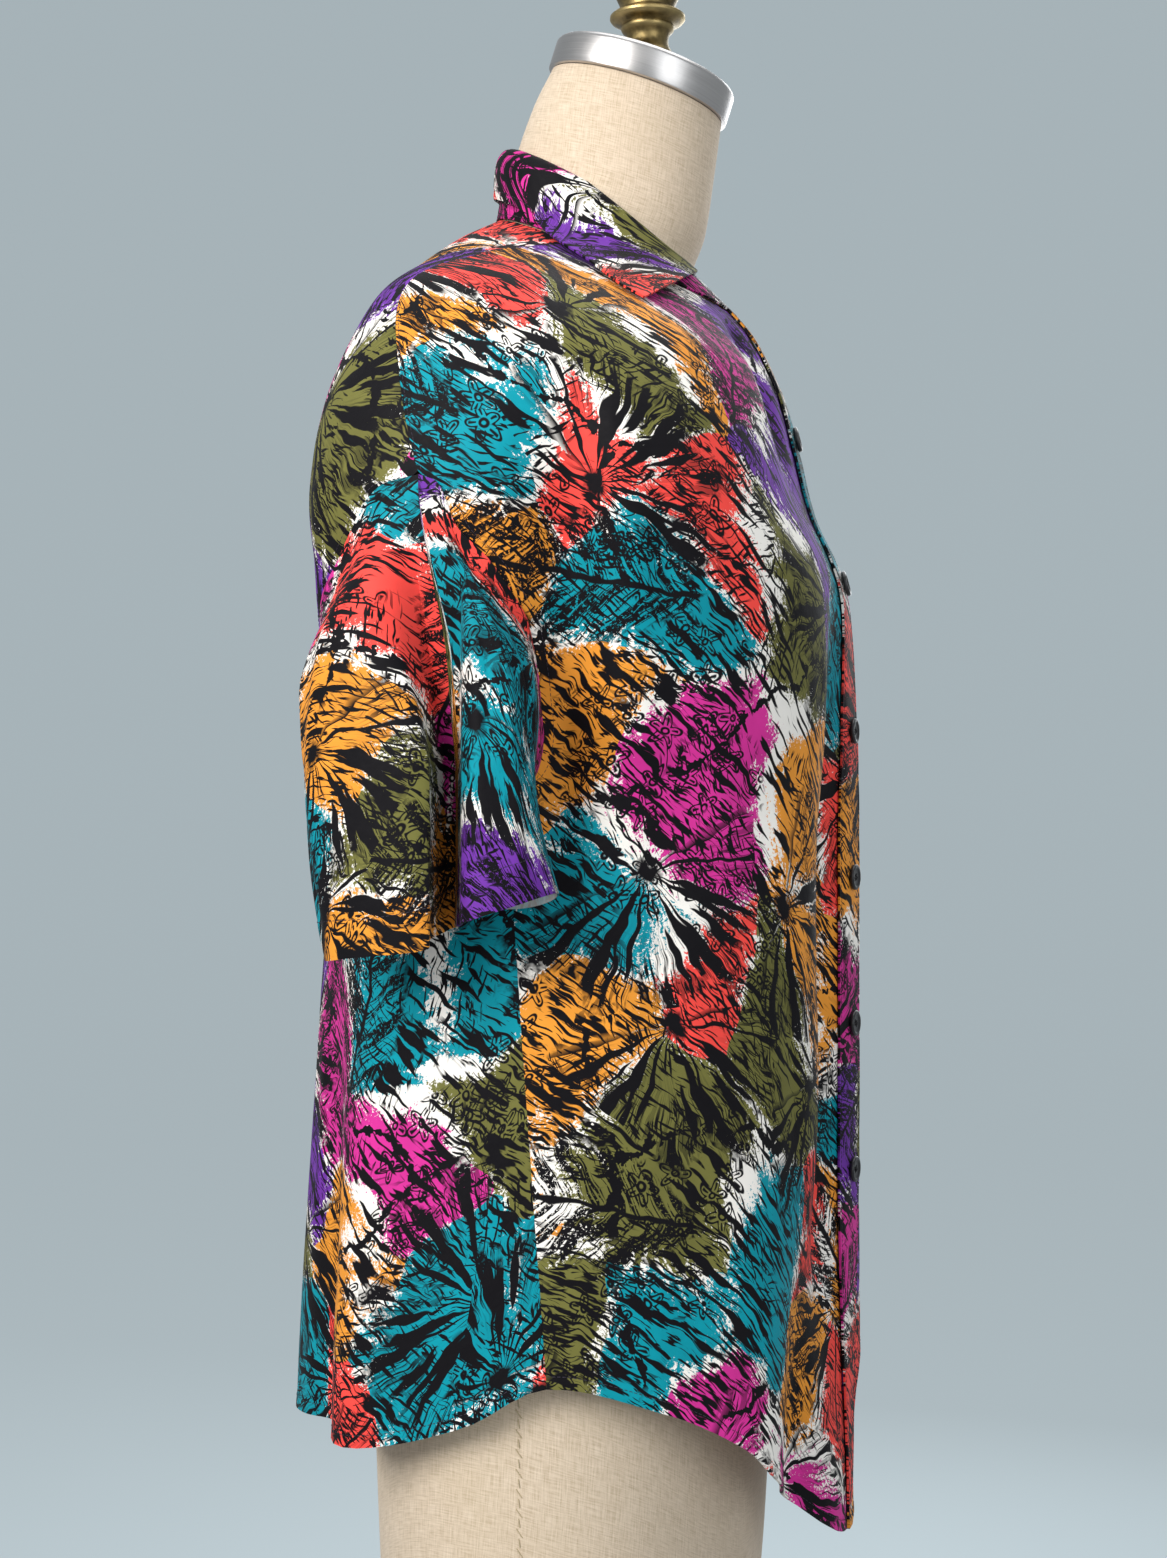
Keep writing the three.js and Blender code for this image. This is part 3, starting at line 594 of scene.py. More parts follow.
def print_group():
    """The cloth's own generic print: brushed leaf fans, feather fronds, flowers and twigs in ink,
    over patches of colour with sponged white between them. Its input is the place in metres."""
    tree = bpy.data.node_groups.new("print", "ShaderNodeTree")
    tree.interface.new_socket("Place", in_out="INPUT", socket_type="NodeSocketVector")
    tree.interface.new_socket("Color", in_out="OUTPUT", socket_type="NodeSocketColor")
    g = Graph(tree)
    place = g.node("NodeGroupInput").outputs[0]
    result = g.node("NodeGroupOutput")

    # The edges of the patches wander, and the pen shakes a little.
    def shaken(vector, scale, reach, detail=2.0):
        swing = g.vector("SUBTRACT", g.noise(vector, scale, detail, output="Color"), MIDDLE_GREY)
        return g.vector("ADD", vector, g.vector("SCALE", swing, Scale=reach))

    wide = shaken(place, 9.0, 0.07)
    pen = shaken(place, 60.0, 0.006, 1.0)
    speckle = g.noise(place, 520.0, 3.0, 0.75)
    coarse = g.noise(place, 160.0, 2.0, 0.6)
    drift = g.noise(place, 13.0, 1.0)

    # Fans and fronds each grow in a cell of their own, turned by chance.
    leaf_cell = g.cells(pen, 8.6, 0.85)
    chance = g.split(leaf_cell.outputs["Color"])
    local = g.vector("SUBTRACT", pen, leaf_cell.outputs["Position"])
    x, y, _ = g.split(g.turned(local, chance[0] * 6.283))

    # A fan: rays of three widths about its root, inside a pleated edge.
    root_x = x + 0.034
    reach = (root_x * root_x + y * y).math("SQRT")
    angle = g.math("ARCTAN2", y, root_x)

    def rays_of(around, outward, detail=1.0, roughness=0.5):
        return g.noise(g.join(angle * around, reach * outward), 1.0, detail, roughness)

    ray = rays_of(7.5, 16.0)
    fine = g.step(rays_of(19.0, 26.0, 2.0, 0.6), 0.53, 0.56) * g.step(reach, 0.02, 0.1)
    hairs = g.step(rays_of(46.0, 50.0), 0.57, 0.6) * g.step(reach, 0.03, 0.05)
    rays = g.step(ray, 0.535, 0.56) | fine | hairs
    limit = abs((angle * 5.5).math("SINE")) * 0.02 + 0.066
    in_fan = g.step(limit - (reach + coarse * 0.02), -0.006, 0.002) * g.step(abs(angle), 1.75, 1.6)
    dry = speckle < g.step(reach, 0.08, 0.03) * 0.3 + 0.62
    root_blot = g.step(reach + coarse * 0.008, 0.0125, 0.009)
    fan = rays * in_fan * dry | root_blot

    # A feather frond: a bent stem with side strokes that lean forward.
    from_stem = y - x * x * (chance[2] * 9.0 - 4.5)
    side = abs(from_stem)
    start = x - side * 0.8

    def barbs_of(along, aside, low, high):
        return g.step(g.noise(g.join(start * along, from_stem * aside), 1.0, 1.0), low, high)

    barbs = barbs_of(210.0, 22.0, 0.535, 0.565) | barbs_of(520.0, 40.0, 0.56, 0.59)
    in_leaf = g.step(0.034 - x * x * 7.5 - (side + coarse * 0.012), -0.006, -0.002)
    stem = g.step(side, 0.0018, 0.0012)
    frond = (barbs * (speckle < 0.6) | stem) * in_leaf
    is_frond = chance[1] > 0.58
    leaves = frond * is_frond + fan * (1.0 - is_frond)

    # Small flowers in outline.
    flower_cell = g.cells(pen, 46.0, 0.75)
    bud = g.vector("SUBTRACT", pen, flower_cell.outputs["Position"])
    bud_x, bud_y, _ = g.split(bud)
    bud_reach = g.vector("LENGTH", bud)
    bud_turn = g.split(flower_cell.outputs["Color"])[0] * 6.0
    petals = (g.math("ARCTAN2", bud_y, bud_x) * 5.0 + bud_turn).math("COSINE")

    def circle(radius, low, high):
        return g.step(abs(bud_reach - radius), low, high)

    outline = circle(petals * 0.0026 + 0.0066, 0.0011, 0.0006)
    eye = circle(0.0018, 0.0009, 0.0005)
    vein = g.step(petals, 0.75, 0.95) * circle(0.0055, 0.0022, 0.0018)
    flowers = (outline | eye | vein) * g.step(g.noise(place, 11.0, 1.0), 0.53, 0.55)

    # Long twigs, and short brush marks between the leaves.
    twig_edge = g.cell_edges(shaken(place, 16.0, 0.05, 3.0), 7.0)
    twigs = (twig_edge < g.step(coarse, 0.35, 0.75) * 0.034) * g.step(drift, 0.46, 0.5)
    brush_place = g.turned(pen, 0.9)

    def brushed_marks(scales, low, high):
        spot = g.vector("MULTIPLY", brush_place, (*scales, 1.0))
        return g.step(g.noise(spot, 1.0, 1.5), low, high)

    leafy = in_leaf * is_frond | in_fan * (1.0 - is_frond)
    marks = brushed_marks((230.0, 34.0), 0.555, 0.59) * (1.0 - leafy)
    fine_marks = brushed_marks((560.0, 70.0), 0.57, 0.605) * g.step(drift, 0.6, 0.56)

    # Short dry dashes that follow each leaf's own direction.
    dashes = g.step(g.noise(g.join(x * 75.0, y * 520.0), 1.0, 1.5), 0.585, 0.62)
    dashes = dashes * g.step(g.noise(place, 24.0, 1.0), 0.46, 0.52)
    ink = g.math("MAXIMUM", leaves | flowers, twigs | (marks | fine_marks | dashes), clamp=True)

    # Patches of colour, and the white between them, drawn out along the leaves' rays.
    patch_chance = g.split(g.cells(wide, 11.5).outputs["Color"])[0]
    colour = g.ramp(patch_chance, PATCH_COLOURS, "CONSTANT")
    gap = g.step(drift, 0.4, 0.66) * 0.125
    bare = gap + (speckle * 0.42 - 0.225) + (ray - 0.5) * 0.35 - g.cell_edges(wide, 11.5)
    white = g.step(bare, -0.008, 0.012)

    # Uneven inking of the colours.
    toned = g.vector("SCALE", colour, Scale=g.noise(place, 34.0, 3.0) * 0.36 + 0.82)
    g.feed(result.inputs["Color"], g.blend(ink, g.blend(white, toned, PAPER), INK))
    return tree


PRINT = print_group()


def new_material(name):
    material = bpy.data.materials.new(name)
    material.use_nodes = True
    return material, Graph(material.node_tree), material.node_tree.nodes["Principled BSDF"]


def weave_height(g, place, pitch):
    """The height of a plain weave. Place and pitch are in the same units."""
    x, y, _ = g.split(g.vector("SCALE", place, Scale=math.pi / pitch))
    return (abs(x.math("SINE")) + abs(y.math("SINE"))) * 0.5


def finish(g, shader, colour, roughness, height, strength, depth, levels):
    """Gives a shader its looks. Levels are the same all over and are set on their own sockets."""
    relief = g.wire("ShaderNodeBump", {"Strength": strength, "Distance": depth, "Height": height})
    for name, value in {"Base Color": colour, "Roughness": roughness, "Normal": relief}.items():
        g.feed(shader.inputs[name], value)
    for name, level in levels.items():
        shader.inputs[name].default_value = level


WEAVE_PITCH = 0.0005


def cloth_material(name, offset, turn, inside):
    material, g, shader = new_material(name)
    place = g.node("ShaderNodeUVMap", uv_map="cloth").outputs[0]
    shift = {"Vector": place, "Location": (*offset, 0), "Rotation": (0, 0, turn)}
    print_place = g.wire("ShaderNodeMapping", shift)
    colour = g.wire("ShaderNodeGroup", {0: print_place}, "Color", node_tree=PRINT)
    fade = g.noise(place, 240.0, 2.0)
    if inside:
        colour = g.blend(fade * 0.2 + 0.42, colour, PAPER)
    weave = weave_height(g, place, WEAVE_PITCH)
    # The colour is scaled by the weave's height: painted shade in the hollows between the threads and
    # painted light on their crowns.
    colour = g.vector("SCALE", colour, Scale=weave * 0.12 + 0.92)
    height = g.noise(place, 95.0, 3.0, 0.55) * 6.0 + weave
    levels = {"Specular IOR Level": 0.13, "Sheen Weight": 0.03, "Sheen Roughness": 0.45}
    finish(g, shader, colour, fade * 0.16 + 0.56, height, 0.5, 0.00009, levels)
    return material


def cloth_pair(name, offset, turn=0.0):
    """The outer and the inner side of a piece, with its own part of the print."""
    return [
        cloth_material(f"{name}_outside", offset, turn, False),
        cloth_material(f"{name}_inside", offset, turn, True),
    ]


def plain_material(name, colour, roughness, spread, scale, metallic=0.0, depth=0.00003):
    """One colour with a fine uneven tone, roughness and relief."""
    material, g, shader = new_material(name)
    place = g.node("ShaderNodeTexCoord").outputs["Object"]
    tone = g.noise(place, scale, 3.0, 0.6, "3D")
    dark = tuple(c * (1 - spread) for c in colour)
    light = tuple(min(1, c * (1 + spread)) for c in colour)
    rough = tone * 0.2 + (roughness - 0.1)
    finish(g, shader, g.blend(tone, dark, light), rough, tone, 0.4, depth, {"Metallic": metallic})
    return material


# Relief on a grid of cloth: edge rolls, puckers and the hem. Distances are in millimetres.

def edge_relief(distance, along, seed, roll=0.5, pucker=0.3):
    """A seam at distance 0: the cloth rolls in there, and puckers along the stitching."""
    wave = grain(along / 9.0, distance / 40.0, seed) + 0.6 * grain(along / 4.6, distance / 30.0, seed + 1)
    return -roll * bell(distance, 1.6) + pucker * wave * bell(distance - 5, 7)


def hem_relief(distance, along, seed):
    wave = grain(along / 11.0, distance / 30.0, seed) + 0.5 * grain(along / 5.0, distance / 20.0, seed + 1)
    return -0.22 * bell(distance - HEM_STITCH, 1.3) + 0.75 * wave * bell(distance - 5, 9)


def hem_thickness(distance, base=THICK, extra=0.75):
    return base + extra * ease(distance, 7.6, 6.4)


def soft_relief(across, down, seed, size=0.5):
    return size * (
        1.6 * grain(across / 58, down / 90, seed)
        + 0.9 * grain(across / 26, down / 44, seed + 1)
        + 0.35 * grain(across / 11, down / 17, seed + 2)
    )


def body_rows(count, angle):
    """Row values that lie about evenly down the cloth."""
    dense = np.linspace(0, HEM, 3001)
    run = run_along(body_point(dense, angle))
    return np.interp(np.linspace(0, run[-1], count), run, dense)


ROW_COUNT = 236
FRONT_COLUMNS = (62, 14)
BACK_COLUMNS = (16, 112, 16)
BAND_COLUMNS = (14,)
rows = body_rows(ROW_COUNT, 150)


def row_below(height):
    """The first row of the panels whose side lies below a height."""
    return int(np.argmax(body_point(rows, 90.0)[:, 2] < height))


ARMHOLE = (row_below(ARMHOLE_TOP), row_below(ARMHOLE_BOTTOM))


def spread(stops, counts):
    """Angles evenly from each stop to the next one. A stop is one angle, or one for each row."""
    stops = [np.broadcast_to(stop, rows.shape)[:, None] for stop in stops]
    spans = [
        mix(start, end, np.linspace(0, 1, count + 1)[None, :])
        for start, end, count in zip(stops, stops[1:], counts)
    ]
    return np.concatenate(spans[:1] + [span[:, 1:] for span in spans[1:]], axis=1)


def smoothed(values, reach, rounds=3):
    """Rows of values, each evened out over a number of neighbours to each side."""
    share = np.full(2 * reach + 1, 1 / (2 * reach + 1))
    for _ in range(rounds):
        padded = np.pad(values, ((0, 0), (reach, reach)), mode="edge")
        values = np.array([np.convolve(row, share, "valid") for row in padded])
    return values


def panel_uv(points, reference_column=0):
    """Places in the cloth. What a row gains in width doesn't count as length too."""
    across = lengths_across(points)
    across = across - across[:, reference_column][:, None]
    steps = np.linalg.norm(np.diff(points, axis=0), axis=-1)
    drop = np.sqrt(np.maximum(steps**2 - np.diff(across, axis=0) ** 2, (0.3 * steps) ** 2))
    down = smoothed(summed_down(drop), min(12, points.shape[1] // 2))
    return np.stack([across, -down], axis=-1) * MM


def line_at(points, normals, distance, lift):
    """The line at a distance from a grid's first column, lifted off it, with its normals."""
    runs = lengths_across(points)

    def picked(values):
        return np.array(
            [[np.interp(distance, run, row[:, k]) for k in range(3)] for run, row in zip(runs, values)]
        )

    out = unit(picked(normals))
    return picked(points) + out * lift, out


SHEETS = {}
STITCH_LINES = []
STITCH_LIFT = THICK / 2 + 0.05
HEM_STITCH = 6.5
HEM_LIFT = STITCH_LIFT + 0.35
ARMHOLE_STITCH = 6
SHOULDER_STITCH = 2


class Sheet:
    """One piece of the shirt's cloth: a grid of points with relief on it, and its stitch lines."""

    def __init__(self, name, points, relief, looks, uv, thick, closed=False):
        self.points = moved(points, relief, closed)
        self.normals = grid_normals(self.points, closed)
        self.closed = closed
        self.made = cloth_shell(f"{name}_cloth", self.points, looks, uv, thick, closed)
        self.area = surface_area(self.points, closed)
        SHEETS[name] = self

    def sew_sides(self, distance, lift, sides=(False, True), first=0, last=None):
        """Stitches at a distance from the first column, from the last one, or from both."""
        for at_last in sides:
            way = -1 if at_last else 1
            grids = (grid[first:last, ::way] for grid in (self.points, self.normals))
            STITCH_LINES.append(line_at(*grids, distance, lift))

    def sew_end(self, distance, lift, margin=0):
        """Stitches at a distance from the last row, without a margin of columns at each side."""
        columns = slice(margin, -margin or None)
        grids = (grid[:, columns].swapaxes(0, 1)[:, ::-1] for grid in (self.points, self.normals))
        line = line_at(*grids, distance, lift)
        if self.closed:
            line = [np.concatenate([part, part[:1]]) for part in line]
        STITCH_LINES.append(line)


# The fronts and the back.

BAND_HALF = 15
FRONT_STRAIGHT = 78.0
BACK_STRAIGHT = 127.0
CALM_TOP = (1420, 1250)  # from which height the relief grows, and where it is full


def body_panel(name, points, seams, across, seed, offset, reference_column, extra=0.0):
    """A front or the back. Seams are distances from its seams, and seed starts its uneven relief."""
    down = lengths_down(points)
    from_hem = down[-1:] - down
    relief = soft_relief(across, down, seed)
    for number, from_seam in enumerate(seams):
        relief = relief + edge_relief(from_seam, down, seed + 10 + 10 * number)
    relief = relief + hem_relief(from_hem, across, seed + 10 + 10 * len(seams)) + extra
    relief = relief * mix(0.2, 1, ease(points[..., 2], *CALM_TOP))
    uv = panel_uv(points, reference_column)
    sheet = Sheet(name, points, relief, cloth_pair(name, offset), uv, hem_thickness(from_hem))
    sheet.sew_end(HEM_STITCH, HEM_LIFT)
    return sheet


def front_panel(side):
    name, offset = ("right", (0.31, 0.17)) if side == RIGHT else ("left", (1.37, 0.62))
    stops = (angle_across(rows, BAND_HALF - 0.5), FRONT_STRAIGHT, panel_edge(rows, armhole_front))
    angles = spread(stops, FRONT_COLUMNS)[:, ::side] * side
    points = body_point(rows[:, None], angles)
    run = lengths_across(points)
    rest = run[:, -1:] - run
    across, from_seam = (run, rest) if side == RIGHT else (rest, run)
    seed = 20 + side
    pucker = edge_relief(across, lengths_down(points), seed + 30, roll=0.0, pucker=0.25)
    band_column = 0 if side == RIGHT else angles.shape[1] - 1
    sheet = body_panel(
        f"shirt_front_{name}", points, [from_seam], across, seed, offset, band_column, pucker
    )
    seam_side = [side == RIGHT]
    sheet.sew_sides(ARMHOLE_STITCH, STITCH_LIFT, seam_side, *ARMHOLE)
    sheet.sew_sides(SHOULDER_STITCH, STITCH_LIFT, seam_side, 0, ARMHOLE[0])


def back_panel():
    edge = panel_edge(rows, armhole_back)
    angles = spread((edge, BACK_STRAIGHT, 360 - BACK_STRAIGHT, 360 - edge), BACK_COLUMNS)
    points = body_point(rows[:, None], angles)
    run = lengths_across(points)
    seams = [run, run[:, -1:] - run]
    sheet = body_panel("shirt_back", points, seams, run, 31, (0.72, 2.4), angles.shape[1] // 2)
    sheet.sew_sides(ARMHOLE_STITCH, STITCH_LIFT, (False, True), *ARMHOLE)


# The front bands. The wearer's right one lies over the left one.

BAND_GAP = 0.06
BAND_OUT = 2.1
BAND_LAP = 3
BAND_STITCH = 2.6
BAND_LIFT = 0.62
BAND_HEM_LIFT = 0.85


def front_band(side):
    half = BAND_HALF - BAND_GAP
    start = angle_across(rows, -half)
    end = angle_across(rows, BAND_HALF + BAND_LAP if side == RIGHT else half)
    points = body_point(rows[:, None], spread((start, end), BAND_COLUMNS))
    if side == RIGHT:
        points = moved(points, np.full(points.shape[:2], BAND_OUT))
    across = lengths_across(points)
    down = lengths_down(points)
    from_hem = down[-1:] - down
    edges = np.minimum(across, across[:, -1:] - across)
    relief = 0.35 * grain(down / 19, across / 34, 71 + side)
    relief = relief + 0.22 * grain(down / 8, edges / 20, 73 + side) * bell(edges - 2.5, 4)
    relief = relief - 0.25 * bell(edges - BAND_STITCH, 1.1) - 0.2 * bell(from_hem - HEM_STITCH, 1.3)
    name, offset = ("right", (2.11, 0.9)) if side == RIGHT else ("left", (0.2, 3.3))
    looks = cloth_pair(f"placket_{name}", offset)
    thick = hem_thickness(from_hem, 1.2, 0.5)
    sheet = Sheet(f"placket_{name}", points, relief, looks, panel_uv(points), thick)
    if side == RIGHT:
        sheet.sew_sides(BAND_STITCH, BAND_LIFT)
        sheet.sew_end(HEM_STITCH, BAND_HEM_LIFT)


# Sleeves. Turn runs round a sleeve: 0 is the outer middle, 90 the front edge, 180 the side next
# to the body and 270 the back edge. Step runs from 0 at the armhole to 1 at the cuff.

SLEEVE_CLEAR = 3.85
CUFF_MIDDLE = 96
CUFF_REACH = 15
CUFF_FRONT = 1035
CUFF_BACK = 994
CUFF_INNER = 1024
outer_radius = column(
    (80, 84, 89, 92, 94, 96, 98.5, 100.3, 102, 106, 112, 118, 125),
    (224, 241, 247, 241, 219, 206, 208, 234, 247, 257, 253, 242, 226),
)
SLEEVE_TOP_RADIUS = 216
SWELL_FRONT = 3
SWELL_BACK = 5
SEAM_LAP = 1.25
LEAST_ROOM = 3.6
# The back lobe's edge leans over the fold: degrees of lean, angle, width, and the heights at which
# the lean starts and is full.
LOBE_LEAN = 7
LOBE_ANGLE = 103
LOBE_WIDTH = 3
LOBE_HEIGHTS = (1190, 1090)


def sleeve_point(side, step, turn):
    c = np.cos(np.radians(turn))
    s = np.sin(np.radians(turn))
    seam_z = mix(ARMHOLE_TOP, ARMHOLE_BOTTOM, (1 - c) / 2)
    seam_angle = np.where(s >= 0, armhole_front(seam_z), armhole_back(seam_z))
    swell = np.where(s > 0, SWELL_FRONT, SWELL_BACK) * np.abs(s) * np.sin(np.pi * step)
    cuff_angle = CUFF_MIDDLE - CUFF_REACH * np.sign(s) * np.abs(s) ** 0.9 + swell
    cuff_z = mix(mix(CUFF_FRONT, CUFF_BACK, (1 - s) / 2), CUFF_INNER, ((1 - c) / 2) ** 2)
    angle = mix(seam_angle, cuff_angle, ease(step, 0, 0.42))
    z = mix(seam_z, cuff_z, step)
    body = body_at_height(np.minimum(z, ARMHOLE_TOP), side * angle)
    body_radius = np.hypot(body[..., 0], body[..., 1])
    fullness = mix(1, 0.9, ease(z, 1020, 1200))
    inner = body_radius + SLEEVE_CLEAR
    outer = np.maximum(mix(SLEEVE_TOP_RADIUS, outer_radius(angle), fullness), inner + LEAST_ROOM)
    outer_share = ((1 + c) / 2) ** 0.6
    radius = mix(body_radius + SEAM_LAP, mix(inner, outer, outer_share), ease(step, 0, 0.3))
    leaning = ease(z, *LOBE_HEIGHTS) * bell(angle - LOBE_ANGLE, LOBE_WIDTH)
    lean = LOBE_LEAN * outer_share * leaning
    heading = np.radians(side * (angle - lean))
    return np.stack([-radius * np.sin(heading), -radius * np.cos(heading), z], axis=-1)


# Creases of a sleeve: from turn and step, to turn and step, half width in mm, depth out.
SLEEVE_CREASES = [
    (42, 0.10, 52, 0.80, 6, 2.0),
    (28, 0.16, 34, 0.70, 5, -1.8),
    (62, 0.06, 74, 0.55, 6, -1.6),
    (318, 0.12, 306, 0.85, 7, 2.0),
    (332, 0.20, 326, 0.75, 5, -1.7),
    (296, 0.08, 284, 0.50, 7, 1.6),
    (285, 0.45, 300, 0.95, 6, -1.8),
    (58, 0.62, 40, 0.98, 6, 1.5),
]

SLEEVE_AROUND = 144
SLEEVE_ROWS = 78
SLEEVE_MM = (1.3, 200)  # about one degree round a sleeve, and its whole length
CUFF_STITCH = 20
CUFF_TURNED = (21, 19.6)  # where the turned in cloth ends, and where it is at its full thickness


def sleeve(side):
    steps = np.linspace(0, 1, SLEEVE_ROWS)[:, None]
    turns = -side * np.arange(SLEEVE_AROUND)[None, :] / SLEEVE_AROUND * 360
    points = sleeve_point(side, steps, turns)
    across = lengths_across(np.concatenate([points, points[:, :1]], axis=1))[:, :-1]
    down = lengths_down(points)
    from_cuff = down[-1:] - down
    relief = 0.8 * soft_relief(across, down, 81 + side) * ease(steps, 0, 0.2)
    outside = ease(np.cos(np.radians(turns)), -0.3, 0.3)
    for number, (t0, s0, t1, s1, width, out) in enumerate(SLEEVE_CREASES):
        x = angle_between(turns, t0) * SLEEVE_MM[0]
        y = (steps - s0) * SLEEVE_MM[1]
        run = (t1 - t0) * SLEEVE_MM[0]
        drop = (s1 - s0) * SLEEVE_MM[1]
        shown = crease(x, y, run, drop, width, (2.0, 17), number, 0.25, 0.7)
        relief = relief + out * shown * outside
    relief = relief + edge_relief(down, across, 91 + side, roll=0.35, pucker=0.5)
    relief = relief - 0.25 * bell(from_cuff - CUFF_STITCH, 1.2)
    relief = relief + 0.5 * grain(across / 12, down / 30, 95 + side) * bell(from_cuff - 14, 12)
    name, offset = ("right", (3.05, 1.31)) if side == RIGHT else ("left", (4.2, 0.44))
    looks = cloth_pair(f"sleeve_{name}", offset, 0.12)
    uv = np.stack([across, -down], axis=-1) * MM
    thick = THICK + 0.5 * ease(from_cuff, *CUFF_TURNED)
    sheet = Sheet(f"sleeve_{name}", points, relief, looks, uv, thick, closed=True)
    sheet.sew_end(CUFF_STITCH, STITCH_LIFT + 0.2)
    carry_print_round(sheet.made.data, uv[..., 0].max())


def carry_print_round(mesh, width):
    """Moves the last column's far corners on by a turn, so that the print doesn't run back there."""
    layer = mesh.uv_layers["cloth"].data
    flat = np.empty(len(mesh.loops) * 2)
    layer.foreach_get("uv", flat)
    across = flat.reshape(-1, 4, 2)[..., 0]
    wide_faces = np.ptp(across, axis=1) > width * 0.5
    low = across < width * 0.5
    across += np.where(wide_faces[:, None] & low, width * 1.007, 0)
    layer.foreach_set("uv", flat)


# Collar.

COLLAR_COLUMNS = 300
STAND_ROWS = 15
FALL_ROWS = 30
COLLAR_THICK = 1.3
COLLAR_LIFT = 0.68
NECKLINE = SHIRT_ROWS[0]
STAND_TOP = (-76, 1382, 58.5, -19, 1429, 39, 1463, 2.1)
STAND_FOOT = 0.035
STAND_OVERLAP = 10
STAND_LAYER = 1.85
STAND_STITCH = 2.5


def stand_point(rise, angle):
    rise, angle = np.broadcast_arrays(np.asarray(rise, float), np.asarray(angle, float))
    ring = {
        name: mix(low, high, rise)
        for name, low, high in zip(RING_COLUMNS, np.array(NECKLINE, float), np.array(STAND_TOP, float))
    }
    return ring_point(ring, angle)


def stand_out(rise, angle):
    up = stand_point(rise + 0.05, angle) - stand_point(rise - 0.05, angle)
    round_it = stand_point(rise, angle + 0.5) - stand_point(rise, angle - 0.5)
    return unit(np.cross(up, round_it))


def stand_over(angle):
    return STAND_LAYER * (1 - ease(angle, STAND_OVERLAP + 4, 50))


def collar_stand():
    rises = np.linspace(1, STAND_FOOT, STAND_ROWS)[:, None]
    angles = np.linspace(-STAND_OVERLAP, 360 + STAND_OVERLAP, COLLAR_COLUMNS)[None, :]
    points = stand_point(rises, angles) + stand_out(rises, angles) * stand_over(angles)[..., None]
    down = lengths_down(points)
    relief = 0.25 * grain(lengths_across(points) / 16, down / 12, 101)
    relief = relief - 0.2 * bell(down[-1:] - down - STAND_STITCH, 1.0)
    looks = cloth_pair("collar_stand", (5.3, 2.2))
    sheet = Sheet("collar_stand", points, relief, looks, panel_uv(points), COLLAR_THICK)
    sheet.sew_end(STAND_STITCH, COLLAR_LIFT)


FALL_TOP_FROM = 17
FALL_EDGE_FROM = 66
FALL_CLEAR = 3.85
# Below 0 the fall's edge lies on the stand.
fall_edge_row = column(
    (66, 70, 74, 78, 84, 90, 100, 112, 125, 180),
    (2.35, 2.15, 1.8, 1.4, 1.02, 0.74, 0.33, -0.06, -0.22, -0.38),
)


def fall_edge(row, angle):
    on_body = np.maximum(row, 0)
    body = body_point(on_body, angle) + body_out(on_body, angle) * FALL_CLEAR
    rise = np.maximum(-row, 0)
    stand = stand_point(rise, angle) + stand_out(rise, angle) * FALL_CLEAR
    return mix(body, stand, ease(rise, 0, 0.12)[..., None])


def fall_point(share, step):
    top_angle = mix(FALL_TOP_FROM, 360 - FALL_TOP_FROM, share)
    edge_angle = mix(FALL_EDGE_FROM, 360 - FALL_EDGE_FROM, share)
    top_out = stand_out(1.0, top_angle)
    turned = stand_point(1.0, top_angle) + top_out * (stand_over(top_angle) + 1)[..., None]
    turned = turned + np.array([0, 0, 2.2])
    from_back = np.abs(angle_between(edge_angle, 180))
    row = fall_edge_row(180 - from_back)
    edge = fall_edge(row, edge_angle)
    between = mix(turned, edge, step[..., None])
    away = top_out.copy()
    away[..., 2] = 0.35
    swell = 4 * np.sin(np.pi * np.clip(step, 0, 1) ** 0.62)
    return between + unit(away) * swell[..., None]


FALL_ROLL = 1.7
ROLL_TURNS = (200, 175, 150, 125, 100, 80, 60)
FALL_STITCH = 5


def collar_fall():
    shares, steps = np.meshgrid(np.linspace(0, 1, COLLAR_COLUMNS), np.linspace(0, 1, FALL_ROWS))
    outer = fall_point(shares, steps)
    # The roll over the stand's top edge, from its inner side.
    out = stand_out(1.0, mix(FALL_TOP_FROM, 360 - FALL_TOP_FROM, shares[:1]))
    roll = []
    for turn in ROLL_TURNS:
        a = math.radians(turn)
        rise = np.array([0, 0, FALL_ROLL * (math.sin(a) - 0.85)])
        roll.append(outer[:1] + out * FALL_ROLL * (math.cos(a) - 0.5) + rise)
    points = np.concatenate(roll + [outer])
    across = lengths_across(points)
    down = lengths_down(points)
    relief = 0.45 * grain(across / 26, down / 22, 111) + 0.2 * grain(across / 9, down / 9, 112)
    relief = relief * ease(down, 3, 14)
    near = np.minimum(down[-1:] - down, np.minimum(across, across[:, -1:] - across))
    for place in (FALL_STITCH, 0):
        relief = relief - 0.3 * bell(near - place, 1.2) * ease(down, 3, 10)
    looks = cloth_pair("collar_fall", (6.4, 3.1), 0.6)
    sheet = Sheet("collar_fall", points, relief, looks, panel_uv(points), COLLAR_THICK)
    sheet.sew_end(FALL_STITCH, COLLAR_LIFT, margin=8)
    sheet.sew_sides(FALL_STITCH, COLLAR_LIFT, first=12, last=-3)


# Stitches: short threads laid along lines on the cloth.

STITCH_PITCH = 2.7
STITCH_LENGTH = 2.0
STITCH_RADIUS = 0.19
STITCH_SIDES = 5
# Along a stitch: its place as a share of the length, its thickness and how high it lies.
STITCH_STATIONS = [
    (-0.5, 0.35, -0.30), (-0.3, 1.0, -0.05), (0.0, 1.05, 0.05), (0.3, 1.0, -0.05), (0.5, 0.35, -0.30),
]


def end_faces(count, sides):
    """The two end faces of a tube made of rings."""
    return [tuple(reversed(range(sides))), tuple(range(count - sides, count))]


